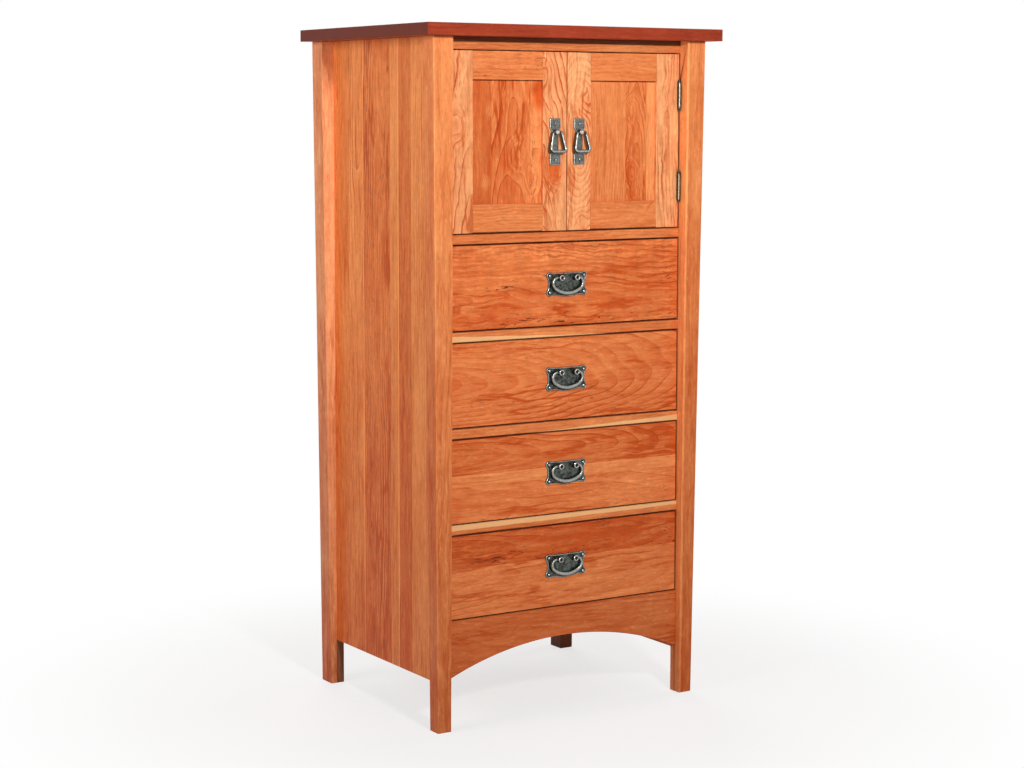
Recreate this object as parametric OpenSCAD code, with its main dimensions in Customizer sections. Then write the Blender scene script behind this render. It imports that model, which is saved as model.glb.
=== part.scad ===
// Tall chest in cherry: two doors over four drawers, tapered corner posts and an arched apron.
// X runs to the right, Y to the back and Z up. The origin is on the floor, under the middle of the top.
// Every solid on the right is also made on the left by a mirror in the plane X = 0.

/* [Case] */
// Width over the corner posts, measured under the top
case_w = 652; // [600:1:720]
// Depth over the corner posts, measured under the top
case_d = 510; // [470:1:560]
// Height of the case, from the floor to the underside of the top
case_h = 1376; // [1350:1:1450]
// Thickness of the top board
top_t = 24; // [18:1:32]
// How far the top board reaches past the posts at each side
side_overhang = 26; // [10:1:40]
// How far the top board reaches past the front posts
front_overhang = 24; // [16:1:40]
// How far the top board reaches past the rear posts
back_overhang = 3; // [0:1:15]

/* [Posts and panels] */
// Width of a corner post, seen from the front and measured under the top
post_w = 45; // [38:1:60]
// Depth of a corner post, seen from the side and measured under the top
post_d = 43; // [36:1:60]
// How far the outer face of a post comes in from the top to the floor
side_taper = 14; // [0:1:18]
// How far the front face of a front post goes back from the top to the floor
front_taper = 11; // [0:1:18]
// Thickness of a side panel
panel_t = 17; // [15:1:20]
// Height of the lower edge of the side and back panels above the floor
panel_bottom = 95; // [60:1:98]
// Thickness of the tongue along each upright edge of a side panel
tongue_t = 7; // [5:1:8]
// How far that tongue goes into the post
tongue_l = 8; // [4:1:10]
// Distance from the inner face of the side panel to its tongue
tongue_in = 7; // [6:1:8]
// Thickness of the back panel
back_t = 8; // [5:1:12]
// Width of the rebate in a rear post that holds the back panel
rebate_w = 8; // [5:1:12]

/* [Front frame] */
// How far the drawers, doors and rails lie behind the front of the posts
front_recess = 27; // [22:1:34]
// Height of the rails between the drawers and under the doors
rail_h = 20; // [16:1:24]
// Depth of those rails, from front to back
rail_d = 60; // [40:1:80]
// Height of the rail over the doors
top_rail_h = 25; // [18:1:40]
// Depth to which rails, runners, floor and apron are let into the posts and side panels
housing = 4; // [2:0.5:5]
// Height of the rear rails
rear_rail_h = 40; // [30:1:60]
// Thickness of the rear rails
rear_rail_t = 20; // [15:1:25]
// Height of the upper edge of the apron above the floor
apron_top = 220; // [200:1:230]
// Thickness of the apron
apron_t = 20; // [16:1:24]
// Height of the ends of the arch above the floor
arch_end = 100; // [85:1:110]
// Rise of the arch from its ends to its middle
arch_rise = 59; // [30:1:70]

/* [Drawers] */
// Height of each drawer opening
drawer_open_h = 172.5; // [150:0.5:180]
// Thickness of a drawer front
drawer_front_t = 20; // [18:1:24]
// Gap around the drawer fronts, and over and under the doors
front_gap = 2; // [1.5:0.1:3]
// Thickness of the drawer sides
drawer_side_t = 12; // [10:1:14]
// Thickness of the drawer back
drawer_back_t = 12; // [10:1:16]
// Gap between the upper edge of a drawer side and the rail above it
kicker_gap = 4.5; // [3:0.5:8]
// Depth to which the drawer back is let into the sides
drawer_back_in = 4; // [2:0.5:6]
// How far the drawer back stands in from the rear ends of the sides
drawer_back_inset = 6; // [3:1:12]
// How far the drawer back stays below the upper edges of the sides
drawer_back_drop = 8; // [4:1:16]
// Thickness of the drawer bottom
bottom_t = 6; // [4:0.5:8]
// Height of the drawer bottom above the lower edges of the sides
bottom_up = 10; // [8:1:16]
// Depth of the groove that holds the drawer bottom
bottom_groove = 6; // [4:0.5:7]
// Length of the dovetails that join a drawer side to its front
tail_l = 12; // [8:1:14]
// Width of a dovetail at its narrow root
tail_root = 20; // [14:1:24]
// How much wider a dovetail is at its tip, on each side
tail_flare = 3; // [1:0.5:4]
// Width of a drawer runner
runner_w = 20; // [16:1:28]
// Height of the tongue that lets a runner into the side panel
runner_tongue_h = 10; // [6:1:14]
// Space behind the closed drawers, filled by their stops
stop_space = 12.5; // [8:0.5:25]
// Height of a drawer stop above its runner
stop_h = 12; // [8:1:20]

/* [Doors] */
// Thickness of the door frames
door_t = 20; // [18:1:24]
// Width of the door stiles
stile_w = 56; // [45:1:65]
// Height of the door rails
door_rail_h = 56; // [45:1:70]
// Thickness of the flat door panel
door_panel_t = 6; // [5:0.5:7]
// How far the door panel lies behind the face of its frame
door_panel_in = 7; // [5:0.5:8]
// Depth of the groove around the door panel
door_groove = 9; // [7:0.5:12]
// Room for the door panel to swell at the foot of its groove
panel_play = 1; // [0.5:0.1:2]
// Length of the tenons on the door rails
door_tenon_l = 25; // [15:1:35]
// How much narrower than its rail a tenon is at the outer edge of the door
door_tenon_shoulder = 10; // [6:1:14]
// Gap between a door and the post that it hangs on
hinge_gap = 3.5; // [3.3:0.1:4]
// Gap between the two doors where they meet
meeting_gap = 2.4; // [2.3:0.1:3.5]

/* [Cabinet] */
// Thickness of the shelf behind the doors
shelf_t = 16; // [12:1:20]
// Height of the shelf's underside above the cabinet floor, as a share of the height of the door opening
shelf_place = 0.482; // [0.38:0.01:0.55]
// Distance from the shelf to the back of the doors
shelf_setback = 8; // [6:1:30]
// Radius of a shelf pin
shelf_pin_r = 3; // [2.5:0.25:4]
// Length of a shelf pin that goes into the side panel, and as much again carries the shelf
shelf_pin_l = 9; // [7:0.5:11]
// Distance of the shelf pins from the front and rear posts
shelf_pin_in = 45; // [30:1:80]
// Width of the cleats that hold the top board
cleat_w = 20; // [16:1:30]
// Height of the cleats that hold the top board
cleat_h = 20; // [16:1:24]
// Radius of a top screw
top_screw_r = 2; // [1.5:0.1:2.5]
// Length that a top screw goes into the top board
top_screw_bite = 14; // [10:1:16]
// Width of a magnetic door catch
catch_w = 30; // [22:1:40]
// Depth of a magnetic door catch
catch_d = 22; // [15:1:30]
// Height of a magnetic door catch
catch_h = 12; // [9:1:14]

/* [Hinges] */
// Length of a hinge leaf
hinge_l = 50; // [40:1:60]
// Distance from the end of a door to the middle of its hinge, as a share of the door's height
hinge_place = 0.2367; // [0.18:0.005:0.3]
// Thickness of a hinge leaf
leaf_t = 1.5; // [1.2:0.1:1.5]
// Depth of a hinge leaf, along the door's edge
leaf_d = 15; // [13:0.5:15.5]
// Radius of the hinge barrel
barrel_r = 4; // [3.5:0.1:4.5]
// Distance from the hinge barrel to the plane of the post's inner face
barrel_gap = 0.5; // [0.3:0.1:0.9]
// Radius of the hinge pin
hinge_pin_r = 2; // [1.5:0.1:2.2]
// Length of each pointed tip on a hinge pin
finial_l = 9; // [6:0.5:12]
// Radius of a hinge screw
hinge_screw_r = 1.5; // [1.2:0.1:1.7]
// Length of a hinge screw, measured in the wood
hinge_screw_l = 6; // [5:0.5:6.5]

/* [Drawer pulls] */
// Width of the backplate over its corners
plate_w = 98; // [90:1:110]
// Height of the backplate over its corners
plate_h = 49; // [46:1:56]
// Thickness of the backplate
plate_t = 2; // [1.5:0.1:2.5]
// Radius of the corners of the backplate
plate_ear_r = 7.5; // [6:0.5:9]
// How far the sides of the backplate curve in between its corners
plate_waist = 4; // [2:0.5:5]
// How far the lower edge of the backplate swells below its corners in the middle
plate_swell = 1.5; // [0.5:0.25:3]
// Radius of that swelling
plate_swell_r = 34; // [28:1:45]
// Radius of a nail head in the backplate
nail_r = 2.8; // [2:0.1:3.5]
// Distance between the two posts that carry the bail
pull_spacing = 37; // [32:1:42]
// Height of those posts above the middle of the backplate
pull_up = 13; // [10:0.5:15]
// Radius of a post
pull_post_r = 5.5; // [5:0.1:6]
// How far a post stands out from the drawer front
pull_post_l = 14.5; // [12:0.5:16]
// Distance from the drawer front to the axis of the bail
bail_axis_out = 6.5; // [6.2:0.1:7]
// Radius of the bail's rod
bail_r = 3.2; // [2.8:0.1:3.3]
// Radius of the bail's end pins
bail_pin_r = 2.4; // [2:0.1:2.6]
// Half of the bail's width, to the middle of its rod
bail_half_w = 36; // [34:0.5:38]
// Drop of the bail from its axis to the middle of its rod
bail_drop = 31.4; // [30:0.2:33]
// Radius of the bail's lower corners
bail_corner_r = 14; // [11:0.5:15]

/* [Door pulls] */
// Width of the ends of the backplate
ring_plate_w = 25; // [22:1:30]
// Height of the backplate
ring_plate_h = 92; // [86:1:100]
// Width of the narrow middle of the backplate
ring_plate_waist = 15; // [12:1:17]
// Height of each wide end of the backplate
ring_plate_end = 21; // [17:1:22]
// Distance between the two screws of the backplate
ring_screw_spacing = 72; // [68:1:76]
// Radius of the ball that carries the ring
ball_r = 5; // [4.5:0.1:6]
// Distance from the face of the door to the middle of the ball
ball_out = 9; // [8.5:0.1:10]
// Height of the ball above the middle of the backplate
ball_up = 19; // [16:0.5:22]
// Radius of the ring's rod
ring_r = 2.4; // [2:0.1:2.6]
// Radius of the ring's end pins
ring_pin_r = 2; // [1.6:0.1:2.2]
// Half of the ring's width at its foot, to the middle of its rod
ring_foot = 18.5; // [16:0.5:20]
// Drop of the ring from its axis to its foot
ring_drop = 39; // [36:0.5:41]
// Bend radius of the ring's lower corners
ring_bend = 6; // [4:0.5:7]
// Bend radius of the ring's shoulders
ring_shoulder = 3.5; // [3:0.25:4.5]
// Angle at which the ring stands off the door at rest
ring_tilt = 7; // [4:0.5:12]

/* [Clearances] */
// Clearance around tenons, tongues and housed ends
joint_gap = 0.2; // [0.1:0.05:0.3]
// Clearance between parts that slide or close on each other
slide_gap = 0.3; // [0.25:0.05:0.5]
// Radial clearance of pins and screws in their bores
pin_gap = 0.05; // [0.03:0.01:0.08]

/* [Hidden] */
$fn = 48;

CHERRY = [0.78, 0.42, 0.22];
LIGHT_CHERRY = [0.86, 0.55, 0.33];
DARK_CHERRY = [0.52, 0.22, 0.14];
INSIDE_WOOD = [0.85, 0.70, 0.50];
PEWTER = [0.30, 0.31, 0.30];

// Number of drawers, counted from the top
DRAWERS = 4;
// Cutters run this far past the faces that they open
PAST = 1;

// Case faces
top_w = case_w + 2 * side_overhang;
top_d = case_d + front_overhang + back_overhang;
case_front = front_overhang - top_d / 2;
case_back = case_front + case_d;
half_w = case_w / 2;
inner_x = half_w - post_w;
front_post_rear = case_front + post_d;
rear_post_front = case_back - post_d;
back_face = case_back - back_t;
rear_rail_front = back_face - rear_rail_t;
tongue_x = inner_x + tongue_in;

// Faces of the front frame
face = case_front + front_recess;
rail_back = face + rail_d;
apron_back = face + apron_t;

// Heights: opening_z(0) is the foot of the door opening, opening_z(1) that of the top drawer's
function opening_z(n) = apron_top + (DRAWERS - n) * (drawer_open_h + rail_h);
door_open_top = case_h - top_rail_h;
door_z0 = opening_z(0) + front_gap;
door_z1 = door_open_top - front_gap;
door_mid_z = (door_z0 + door_z1) / 2;
shelf_z = opening_z(0) + shelf_place * (door_open_top - opening_z(0));
arch_r = (pow(inner_x, 2) + pow(arch_rise, 2)) / (2 * arch_rise);

// Drawer boxes
drawer_half_w = inner_x - front_gap;
drawer_inner_x = drawer_half_w - drawer_side_t;
drawer_front_back = face + drawer_front_t;
drawer_rear = back_face - stop_space;
drawer_side_h = drawer_open_h - front_gap - kicker_gap;
drawer_back_rear = drawer_rear - drawer_back_inset;
tails = 4;
tail_pitch = drawer_side_h / tails;

// Top screws: their places along the cleats, as shares of the cleats' length
top_screw_places = [0.1, 0.5, 0.9];

// Doors, drawn on the right
door_x0 = meeting_gap / 2;
door_x1 = inner_x - hinge_gap;
stile_in_x0 = door_x0 + stile_w;
stile_in_x1 = door_x1 - stile_w;
door_back = face + door_t;
door_panel_y = face + door_panel_in;
catch_plate_t = 1.2;
catch_plate_w = 24;
catch_plate_h = 10;
catch_screw_l = 6;
pull_x = door_x0 + stile_w / 2;

// Hinges
hinge_x = inner_x - barrel_r - barrel_gap;
hinge_y = face - barrel_r - slide_gap;
knuckles = 5;
knuckle_l = (hinge_l - (knuckles - 1) * slide_gap) / knuckles;
hinge_screw_y = face + leaf_d / 2;
hinge_screw_step = 17;
hinge_inset = hinge_place * (door_z1 - door_z0);
hinge_zs = [door_z0 + hinge_inset, door_z1 - hinge_inset];

// Bent rods: collar beside a post or ball, its lap over the rod, and what a knot adds to the rod's radius
collar_l = 1;
collar_lap = 0.2;
knot_r = 0.1;

// Bail: its collars clear the posts, and the arc along its foot touches both corner arcs
bail_shoulder_x = pull_spacing / 2 + pull_post_r + slide_gap + collar_l;
bail_shoulder_r = bail_half_w - bail_shoulder_x;
bail_side_drop = bail_drop - bail_shoulder_r;
bail_foot_x = bail_half_w - bail_corner_r;
bail_foot_r = (pow(bail_foot_x, 2) + pow(bail_side_drop, 2) - pow(bail_corner_r, 2))
    / (2 * (bail_side_drop - bail_corner_r));
bail_foot_angle = asin(bail_foot_x / (bail_foot_r - bail_corner_r));
bail_pin_in = pull_spacing / 2 - pull_post_r / 2;
bail_axis_y = face - bail_axis_out;
nail_x = plate_w / 2 - plate_ear_r;
nail_z = plate_h / 2 - plate_ear_r;
nail_shank_r = 1;
nail_l = 10;
pull_tail_r = 2;
nut_t = 4;
nut_r = 5;
tail_past_nut = 2;
// Radius of the ball that a nail head is cut from, as a share of the head's
nail_dome = 1.15;

// What is mounted on a backplate starts this close to it
plate_seat = face - plate_t - pin_gap;

// Ring
ring_axis_y = face - ball_out;
ring_axis_z = door_mid_z + ball_up;
stud_r = 2;
stud_l = 14;
ring_pin_in = 1;
// Half of the ring's width at its top, to the middle of its rod
ring_top = ball_r + slide_gap + collar_l + ring_shoulder;
ring_screw_r = 1.4;
ring_screw_l = 12;
ring_screw_head_r = 3;
ring_screw_head_h = 1.4;
// Radius of the neck behind the ball, as a share of the ball's
ball_neck = 0.7;

// Box from its low corner to its high corner
module box(low, high) {
    translate(low) cube(high - low);
}

// The children and their mirror image in X
module pair() {
    children();
    mirror([1, 0, 0]) children();
}

// Cylinder along X, from x0 to x1
module rod_x(x0, x1, y, z, r) {
    translate([x0, y, z]) rotate([0, 90, 0]) cylinder(h = x1 - x0, r = r);
}

// Cylinder along Y, from y0 to y1
module rod_y(x, y0, y1, z, r) {
    translate([x, y0, z]) rotate([-90, 0, 0]) cylinder(h = y1 - y0, r = r);
}

// Outline in X and Z, extruded along Y from y0 to y1
module plate_y(y0, y1) {
    translate([0, y1, 0]) rotate([90, 0, 0]) linear_extrude(y1 - y0) children();
}

// Outline in Y and Z, extruded along X from x0 to x1
module plate_x(x0, x1) {
    translate([x0, 0, 0]) rotate([90, 0, 90]) linear_extrude(x1 - x0) children();
}

// Bent round rod in X and Z: centre, bend radius, first angle and turn, both from +X towards +Z
module bend(centre, bend_r, rod_r, from, turn) {
    translate([centre.x, 0, centre.y]) rotate([90, 0, 0]) rotate([0, 0, from])
        rotate_extrude(angle = turn, $fn = 96) translate([bend_r, 0]) circle(r = rod_r, $fn = 32);
}

// End pin along X from x0, with a collar around the start of the rod at x1
module end_pin(x0, x1, pin_r, rod_r) {
    rod_x(x0, x1, 0, 0, pin_r);
    rod_x(x1 - collar_l, x1 + collar_lap, 0, 0, rod_r + knot_r);
}

// Ball, a little thicker than the rod, where two lengths of a bent rod meet
module knot(at, rod_r) {
    translate([at.x, 0, at.y]) sphere(r = rod_r + knot_r, $fn = 32);
}

// Straight round rod in X and Z
module run(from, to, rod_r) {
    way = to - from;
    translate([from.x, 0, from.y]) rotate([0, atan2(way.x, way.y), 0])
        cylinder(h = norm(way), r = rod_r, $fn = 32);
}

// Rails, runners and floor, with room around them when they are used as cutters
module rail_shape(z, h, room = 0) {
    side = inner_x + housing + room;
    box([-side, face - room, z - room], [side, rail_back + room, z + h + room]);
}

module apron_shape(room = 0) {
    side = inner_x + housing + room;
    plate_y(face - room, apron_back + room) difference() {
        translate([-side, arch_end - room]) square([2 * side, apron_top - arch_end + 2 * room]);
        translate([0, arch_end + arch_rise - arch_r]) circle(r = arch_r, $fn = 180);
    }
}

module apron_housing() {
    side = inner_x + housing + joint_gap;
    box([inner_x - PAST, face - joint_gap, arch_end - joint_gap],
        [side, apron_back + joint_gap, apron_top + joint_gap]);
}

module floor_shape(room = 0) {
    side = inner_x + housing + room;
    box([-side, rail_back - room, opening_z(0) - rail_h - room],
        [side, rear_post_front, opening_z(0) + room]);
}

function runner_start(n) = n == DRAWERS ? apron_back : rail_back;
function runner_z(n) = opening_z(n) - rail_h;

// Tongue of the right runner under drawer n
module runner_tongue(n, room = 0) {
    mid = runner_z(n) + rail_h / 2;
    box([inner_x - PAST, runner_start(n) - room, mid - runner_tongue_h / 2 - room],
        [inner_x + housing + room, rear_post_front, mid + runner_tongue_h / 2 + room]);
}

module rear_rail_shape(z, room = 0) {
    side = inner_x + housing + room;
    box([-side, rear_rail_front - room, z - room], [side, back_face, z + rear_rail_h + room]);
}

function rear_rail_zs() = [panel_bottom, case_h - rear_rail_h];

// Everything that is let into the right posts and the right side panel
module right_housings() {
    for (n = [0:DRAWERS - 1]) rail_shape(opening_z(n) - rail_h, rail_h, joint_gap);
    rail_shape(door_open_top, top_rail_h + PAST, joint_gap);
    apron_housing();
    floor_shape(joint_gap);
    for (n = [1:DRAWERS]) runner_tongue(n, joint_gap);
}

// Groove for the tongue of a side panel, from y0 to y1
module panel_groove(y0, y1) {
    box([tongue_x - joint_gap, y0, panel_bottom - joint_gap],
        [tongue_x + tongue_t + joint_gap, y1, case_h + PAST]);
}

// Screws of the two hinges on the right, with the sign of their way into the wood
module hinge_screws(x, way, room = 0) {
    for (z = hinge_zs, step = [-1, 0, 1]) {
        translate([x, hinge_screw_y, z + step * hinge_screw_step]) rotate([0, way * 90, 0]) {
            cylinder(h = leaf_t, r1 = 2 * hinge_screw_r + room, r2 = hinge_screw_r + room);
            cylinder(h = leaf_t + hinge_screw_l + room, r = hinge_screw_r + room);
        }
    }
}

// Case

module top_screw_positions() {
    for (t = top_screw_places) {
        y = rail_back + t * (rear_rail_front - rail_back);
        translate([inner_x - cleat_w / 2, y, case_h]) children();
    }
}

module top_board() {
    color(DARK_CHERRY) difference() {
        box([-top_w / 2, -top_d / 2, case_h], [top_w / 2, top_d / 2, case_h + top_t]);
        pair() top_screw_positions() translate([0, 0, -PAST])
            cylinder(h = PAST + top_screw_bite + joint_gap, r = top_screw_r + pin_gap);
    }
}

// Right front post: the front outline and the side outline both narrow towards the floor
module front_post() {
    difference() {
        intersection() {
            plate_y(case_front, front_post_rear) polygon([
                [inner_x, 0], [half_w - side_taper, 0], [half_w, case_h], [inner_x, case_h]
            ]);
            plate_x(inner_x - PAST, half_w + PAST) polygon([
                [case_front + front_taper, 0], [front_post_rear, 0],
                [front_post_rear, case_h], [case_front, case_h]
            ]);
        }
        panel_groove(front_post_rear - tongue_l - joint_gap, front_post_rear + PAST);
        right_housings();
        hinge_screws(inner_x - leaf_t, 1, pin_gap);
    }
}

// Right rear post, with the rebate for the back panel
module rear_post() {
    difference() {
        plate_y(rear_post_front, case_back) polygon([
            [inner_x, 0], [half_w - side_taper, 0], [half_w, case_h], [inner_x, case_h]
        ]);
        panel_groove(rear_post_front - PAST, rear_post_front + tongue_l + joint_gap);
        for (z = rear_rail_zs()) rear_rail_shape(z, joint_gap);
        box([inner_x - PAST, back_face, panel_bottom],
            [inner_x + rebate_w, case_back + PAST, case_h + PAST]);
    }
}

module front_left_post() {
    color(CHERRY) mirror([1, 0, 0]) front_post();
}

module front_right_post() {
    color(CHERRY) front_post();
}

module rear_left_post() {
    color(CHERRY) mirror([1, 0, 0]) rear_post();
}

module rear_right_post() {
    color(CHERRY) rear_post();
}

module side_panel() {
    difference() {
        union() {
            box([inner_x, front_post_rear, panel_bottom], [inner_x + panel_t, rear_post_front, case_h]);
            box([tongue_x, front_post_rear - tongue_l, panel_bottom],
                [tongue_x + tongue_t, rear_post_front + tongue_l, case_h]);
        }
        right_housings();
        shelf_pins_right(pin_gap);
    }
}

module left_side_panel() {
    color(CHERRY) mirror([1, 0, 0]) side_panel();
}

module right_side_panel() {
    color(CHERRY) side_panel();
}

module back_panel() {
    side = inner_x + rebate_w - joint_gap;
    color(INSIDE_WOOD) box([-side, back_face, panel_bottom], [side, case_back, case_h]);
}

module rear_rails() {
    color(INSIDE_WOOD) for (z = rear_rail_zs()) rear_rail_shape(z);
}

module top_rail() {
    color(CHERRY) rail_shape(door_open_top, top_rail_h);
}

module front_rails() {
    color(LIGHT_CHERRY) for (n = [0:DRAWERS - 1]) rail_shape(opening_z(n) - rail_h, rail_h);
}

module apron() {
    color(CHERRY) apron_shape();
}

// The runner's upper face carries the drawer sides a little above the rail
module drawer_runners() {
    color(INSIDE_WOOD) for (n = [1:DRAWERS]) pair() {
        box([inner_x - runner_w, runner_start(n), runner_z(n)],
            [inner_x, back_face, opening_z(n) + front_gap - slide_gap]);
        runner_tongue(n);
    }
}

module drawer_stops() {
    color(INSIDE_WOOD) for (n = [1:DRAWERS]) pair() {
        z = opening_z(n) + front_gap - slide_gap;
        box([inner_x - runner_w, drawer_rear + slide_gap, z], [inner_x, back_face, z + stop_h]);
    }
}

module cabinet_floor() {
    color(INSIDE_WOOD) {
        floor_shape();
        box([-inner_x, rear_post_front, opening_z(0) - rail_h], [inner_x, back_face, opening_z(0)]);
    }
}

module cabinet_shelf() {
    side = inner_x - front_gap / 2;
    color(INSIDE_WOOD)
        box([-side, door_back + shelf_setback, shelf_z], [side, back_face - front_gap, shelf_z + shelf_t]);
}

module shelf_pins_right(room = 0) {
    for (y = [front_post_rear + shelf_pin_in, rear_post_front - shelf_pin_in])
        rod_x(inner_x - shelf_pin_l, inner_x + shelf_pin_l + room, y, shelf_z - shelf_pin_r,
            shelf_pin_r + room);
}

module shelf_pins() {
    color(PEWTER) pair() shelf_pins_right();
}

module top_cleats() {
    color(INSIDE_WOOD) pair() difference() {
        box([inner_x - cleat_w, rail_back, case_h - cleat_h], [inner_x, rear_rail_front, case_h]);
        top_screw_positions() translate([0, 0, -cleat_h - PAST])
            cylinder(h = cleat_h + 2 * PAST, r = top_screw_r + pin_gap);
    }
}

module top_screws() {
    color(PEWTER) pair() top_screw_positions() {
        translate([0, 0, -cleat_h]) cylinder(h = cleat_h + top_screw_bite, r = top_screw_r);
        translate([0, 0, -cleat_h - top_screw_r])
            cylinder(h = top_screw_r, r1 = 1.5 * top_screw_r, r2 = 2 * top_screw_r);
    }
}

// Magnetic catches under the top rail, just clear of the plates on the doors
module door_catches() {
    y = door_back + catch_plate_t + slide_gap;
    color(PEWTER) pair()
        box([pull_x - catch_w / 2, y, door_open_top - catch_h],
            [pull_x + catch_w / 2, y + catch_d, door_open_top]);
}

// Hinges, drawn on the right

// Knuckles with the given remainder: 0 for those of the case leaf, 1 for those of the door leaf
module knuckle_rows(z, odd) {
    for (k = [odd:2:knuckles - 1])
        translate([0, 0, z - hinge_l / 2 + k * (knuckle_l + slide_gap)]) children();
}

// One leaf: flat plate from x to x + leaf_t, joined to its knuckles
module hinge_leaf(z, odd, x) {
    difference() {
        union() {
            box([x, face, z - hinge_l / 2], [x + leaf_t, face + leaf_d, z + hinge_l / 2]);
            knuckle_rows(z, odd) {
                box([x, hinge_y, 0], [x + leaf_t, face + PAST, knuckle_l]);
                translate([hinge_x, hinge_y, 0]) cylinder(h = knuckle_l, r = barrel_r);
            }
        }
        translate([hinge_x, hinge_y, z - hinge_l / 2 - PAST])
            cylinder(h = hinge_l + 2 * PAST, r = hinge_pin_r + pin_gap);
    }
}

module case_leaves() {
    difference() {
        for (z = hinge_zs) hinge_leaf(z, 0, inner_x - leaf_t);
        hinge_screws(inner_x - leaf_t, 1, pin_gap);
    }
    hinge_screws(inner_x - leaf_t, 1);
}

module door_leaves() {
    difference() {
        for (z = hinge_zs) hinge_leaf(z, 1, door_x1);
        hinge_screws(door_x1 + leaf_t, -1, pin_gap);
    }
    hinge_screws(door_x1 + leaf_t, -1);
}

module case_hinge_leaves() {
    color(PEWTER) pair() case_leaves();
}

module hinge_pins() {
    color(PEWTER) pair() for (z = hinge_zs) translate([hinge_x, hinge_y, z]) {
        cylinder(h = hinge_l, r = hinge_pin_r, center = true);
        for (side = [0, 1]) mirror([0, 0, side]) translate([0, 0, hinge_l / 2])
            cylinder(h = finial_l, r1 = barrel_r - slide_gap, r2 = barrel_r / 4);
    }
}

// Doors, drawn on the right

module stile(x0, x1, groove_x0, groove_x1, mortise_x0, mortise_x1) {
    low = [door_panel_y - joint_gap, door_panel_y + door_panel_t + joint_gap];
    difference() {
        box([x0, face, door_z0], [x1, door_back, door_z1]);
        box([groove_x0, low[0], door_z0 + door_rail_h - door_groove - joint_gap],
            [groove_x1, low[1], door_z1 - door_rail_h + door_groove + joint_gap]);
        for (z = door_tenon_zs())
            box([mortise_x0, low[0], z[0] - joint_gap], [mortise_x1, low[1], z[1] + joint_gap]);
    }
}

// Lower and upper ends of the tenons on the lower and upper rails
function door_tenon_zs() = [
    [door_z0 + door_tenon_shoulder, door_z0 + door_rail_h - door_groove],
    [door_z1 - door_rail_h + door_groove, door_z1 - door_tenon_shoulder]
];

module door_stiles() {
    groove = door_groove + joint_gap;
    mortise = door_tenon_l + joint_gap;
    difference() {
        union() {
            stile(door_x0, stile_in_x0, stile_in_x0 - groove, stile_in_x0 + PAST,
                stile_in_x0 - mortise, stile_in_x0 + PAST);
            stile(stile_in_x1, door_x1, stile_in_x1 - PAST, stile_in_x1 + groove,
                stile_in_x1 - PAST, stile_in_x1 + mortise);
        }
        hinge_screws(door_x1 + leaf_t, -1, pin_gap);
        rod_y(pull_x, face - PAST, face + stud_l + pin_gap, ring_axis_z, stud_r + pin_gap);
        ring_plate_screws(pin_gap);
        catch_screw(pin_gap);
    }
}

module door_rail(z, tenon, groove_z) {
    difference() {
        union() {
            box([stile_in_x0, face, z], [stile_in_x1, door_back, z + door_rail_h]);
            box([stile_in_x0 - door_tenon_l, door_panel_y, tenon[0]],
                [stile_in_x1 + door_tenon_l, door_panel_y + door_panel_t, tenon[1]]);
        }
        box([stile_in_x0 - PAST, door_panel_y - joint_gap, groove_z],
            [stile_in_x1 + PAST, door_panel_y + door_panel_t + joint_gap, groove_z + door_groove + PAST]);
    }
}

module door_rails() {
    zs = door_tenon_zs();
    door_rail(door_z0, zs[0], door_z0 + door_rail_h - door_groove);
    door_rail(door_z1 - door_rail_h, zs[1], door_z1 - door_rail_h - PAST);
}

module door_panel() {
    reach = door_groove - panel_play;
    box([stile_in_x0 - reach, door_panel_y, door_z0 + door_rail_h - reach],
        [stile_in_x1 + reach, door_panel_y + door_panel_t, door_z1 - door_rail_h + reach]);
}

module catch_screw(room = 0) {
    rod_y(pull_x, door_back - catch_screw_l - room, door_back + catch_plate_t + room,
        door_z1 - catch_h / 2, ring_screw_r + room);
}

// Steel plate on the back of the door, with its screw
module catch_plate() {
    z = door_z1 - catch_h / 2;
    difference() {
        box([pull_x - catch_plate_w / 2, door_back, z - catch_plate_h / 2],
            [pull_x + catch_plate_w / 2, door_back + catch_plate_t, z + catch_plate_h / 2]);
        catch_screw(pin_gap);
    }
    catch_screw();
}

// Ring pulls, drawn on the right

module ring_plate_outline() {
    bite = (ring_plate_w - ring_plate_waist) / 2;
    neck = ring_plate_h / 2 - ring_plate_end;
    difference() {
        square([ring_plate_w, ring_plate_h], center = true);
        for (side = [-1, 1]) {
            translate([side * (ring_plate_w + PAST) / 2, 0])
                square([2 * bite + PAST, 2 * (neck - bite)], center = true);
            for (end = [-1, 1]) translate([side * ring_plate_w / 2, end * (neck - bite)]) circle(r = bite);
        }
    }
}

module ring_plate_screws(room = 0) {
    for (side = [-1, 1])
        rod_y(pull_x, plate_seat - room, face + ring_screw_l + room,
            door_mid_z + side * ring_screw_spacing / 2, ring_screw_r + room);
}

// Backplate, its two screws and the ball stud that carries the ring
module pull_plate() {
    difference() {
        translate([pull_x, 0, door_mid_z]) plate_y(face - plate_t, face) ring_plate_outline();
        ring_plate_screws(pin_gap);
        rod_y(pull_x, face - plate_t - PAST, face + PAST, ring_axis_z, stud_r + pin_gap);
    }
    ring_plate_screws();
    for (side = [-1, 1]) translate([pull_x, plate_seat, door_mid_z + side * ring_screw_spacing / 2])
        rotate([90, 0, 0])
            cylinder(h = ring_screw_head_h, r1 = ring_screw_head_r, r2 = ring_screw_head_r / 2);
    difference() {
        union() {
            rod_y(pull_x, plate_seat, face + stud_l, ring_axis_z, stud_r);
            rod_y(pull_x, ring_axis_y, plate_seat, ring_axis_z, ball_neck * ball_r);
            translate([pull_x, ring_axis_y, ring_axis_z]) rotate([0, 0, -45]) sphere(r = ball_r);
        }
        rod_x(pull_x - 2 * ball_r, pull_x + 2 * ball_r, ring_axis_y, ring_axis_z, ring_pin_r + pin_gap);
    }
}

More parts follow.
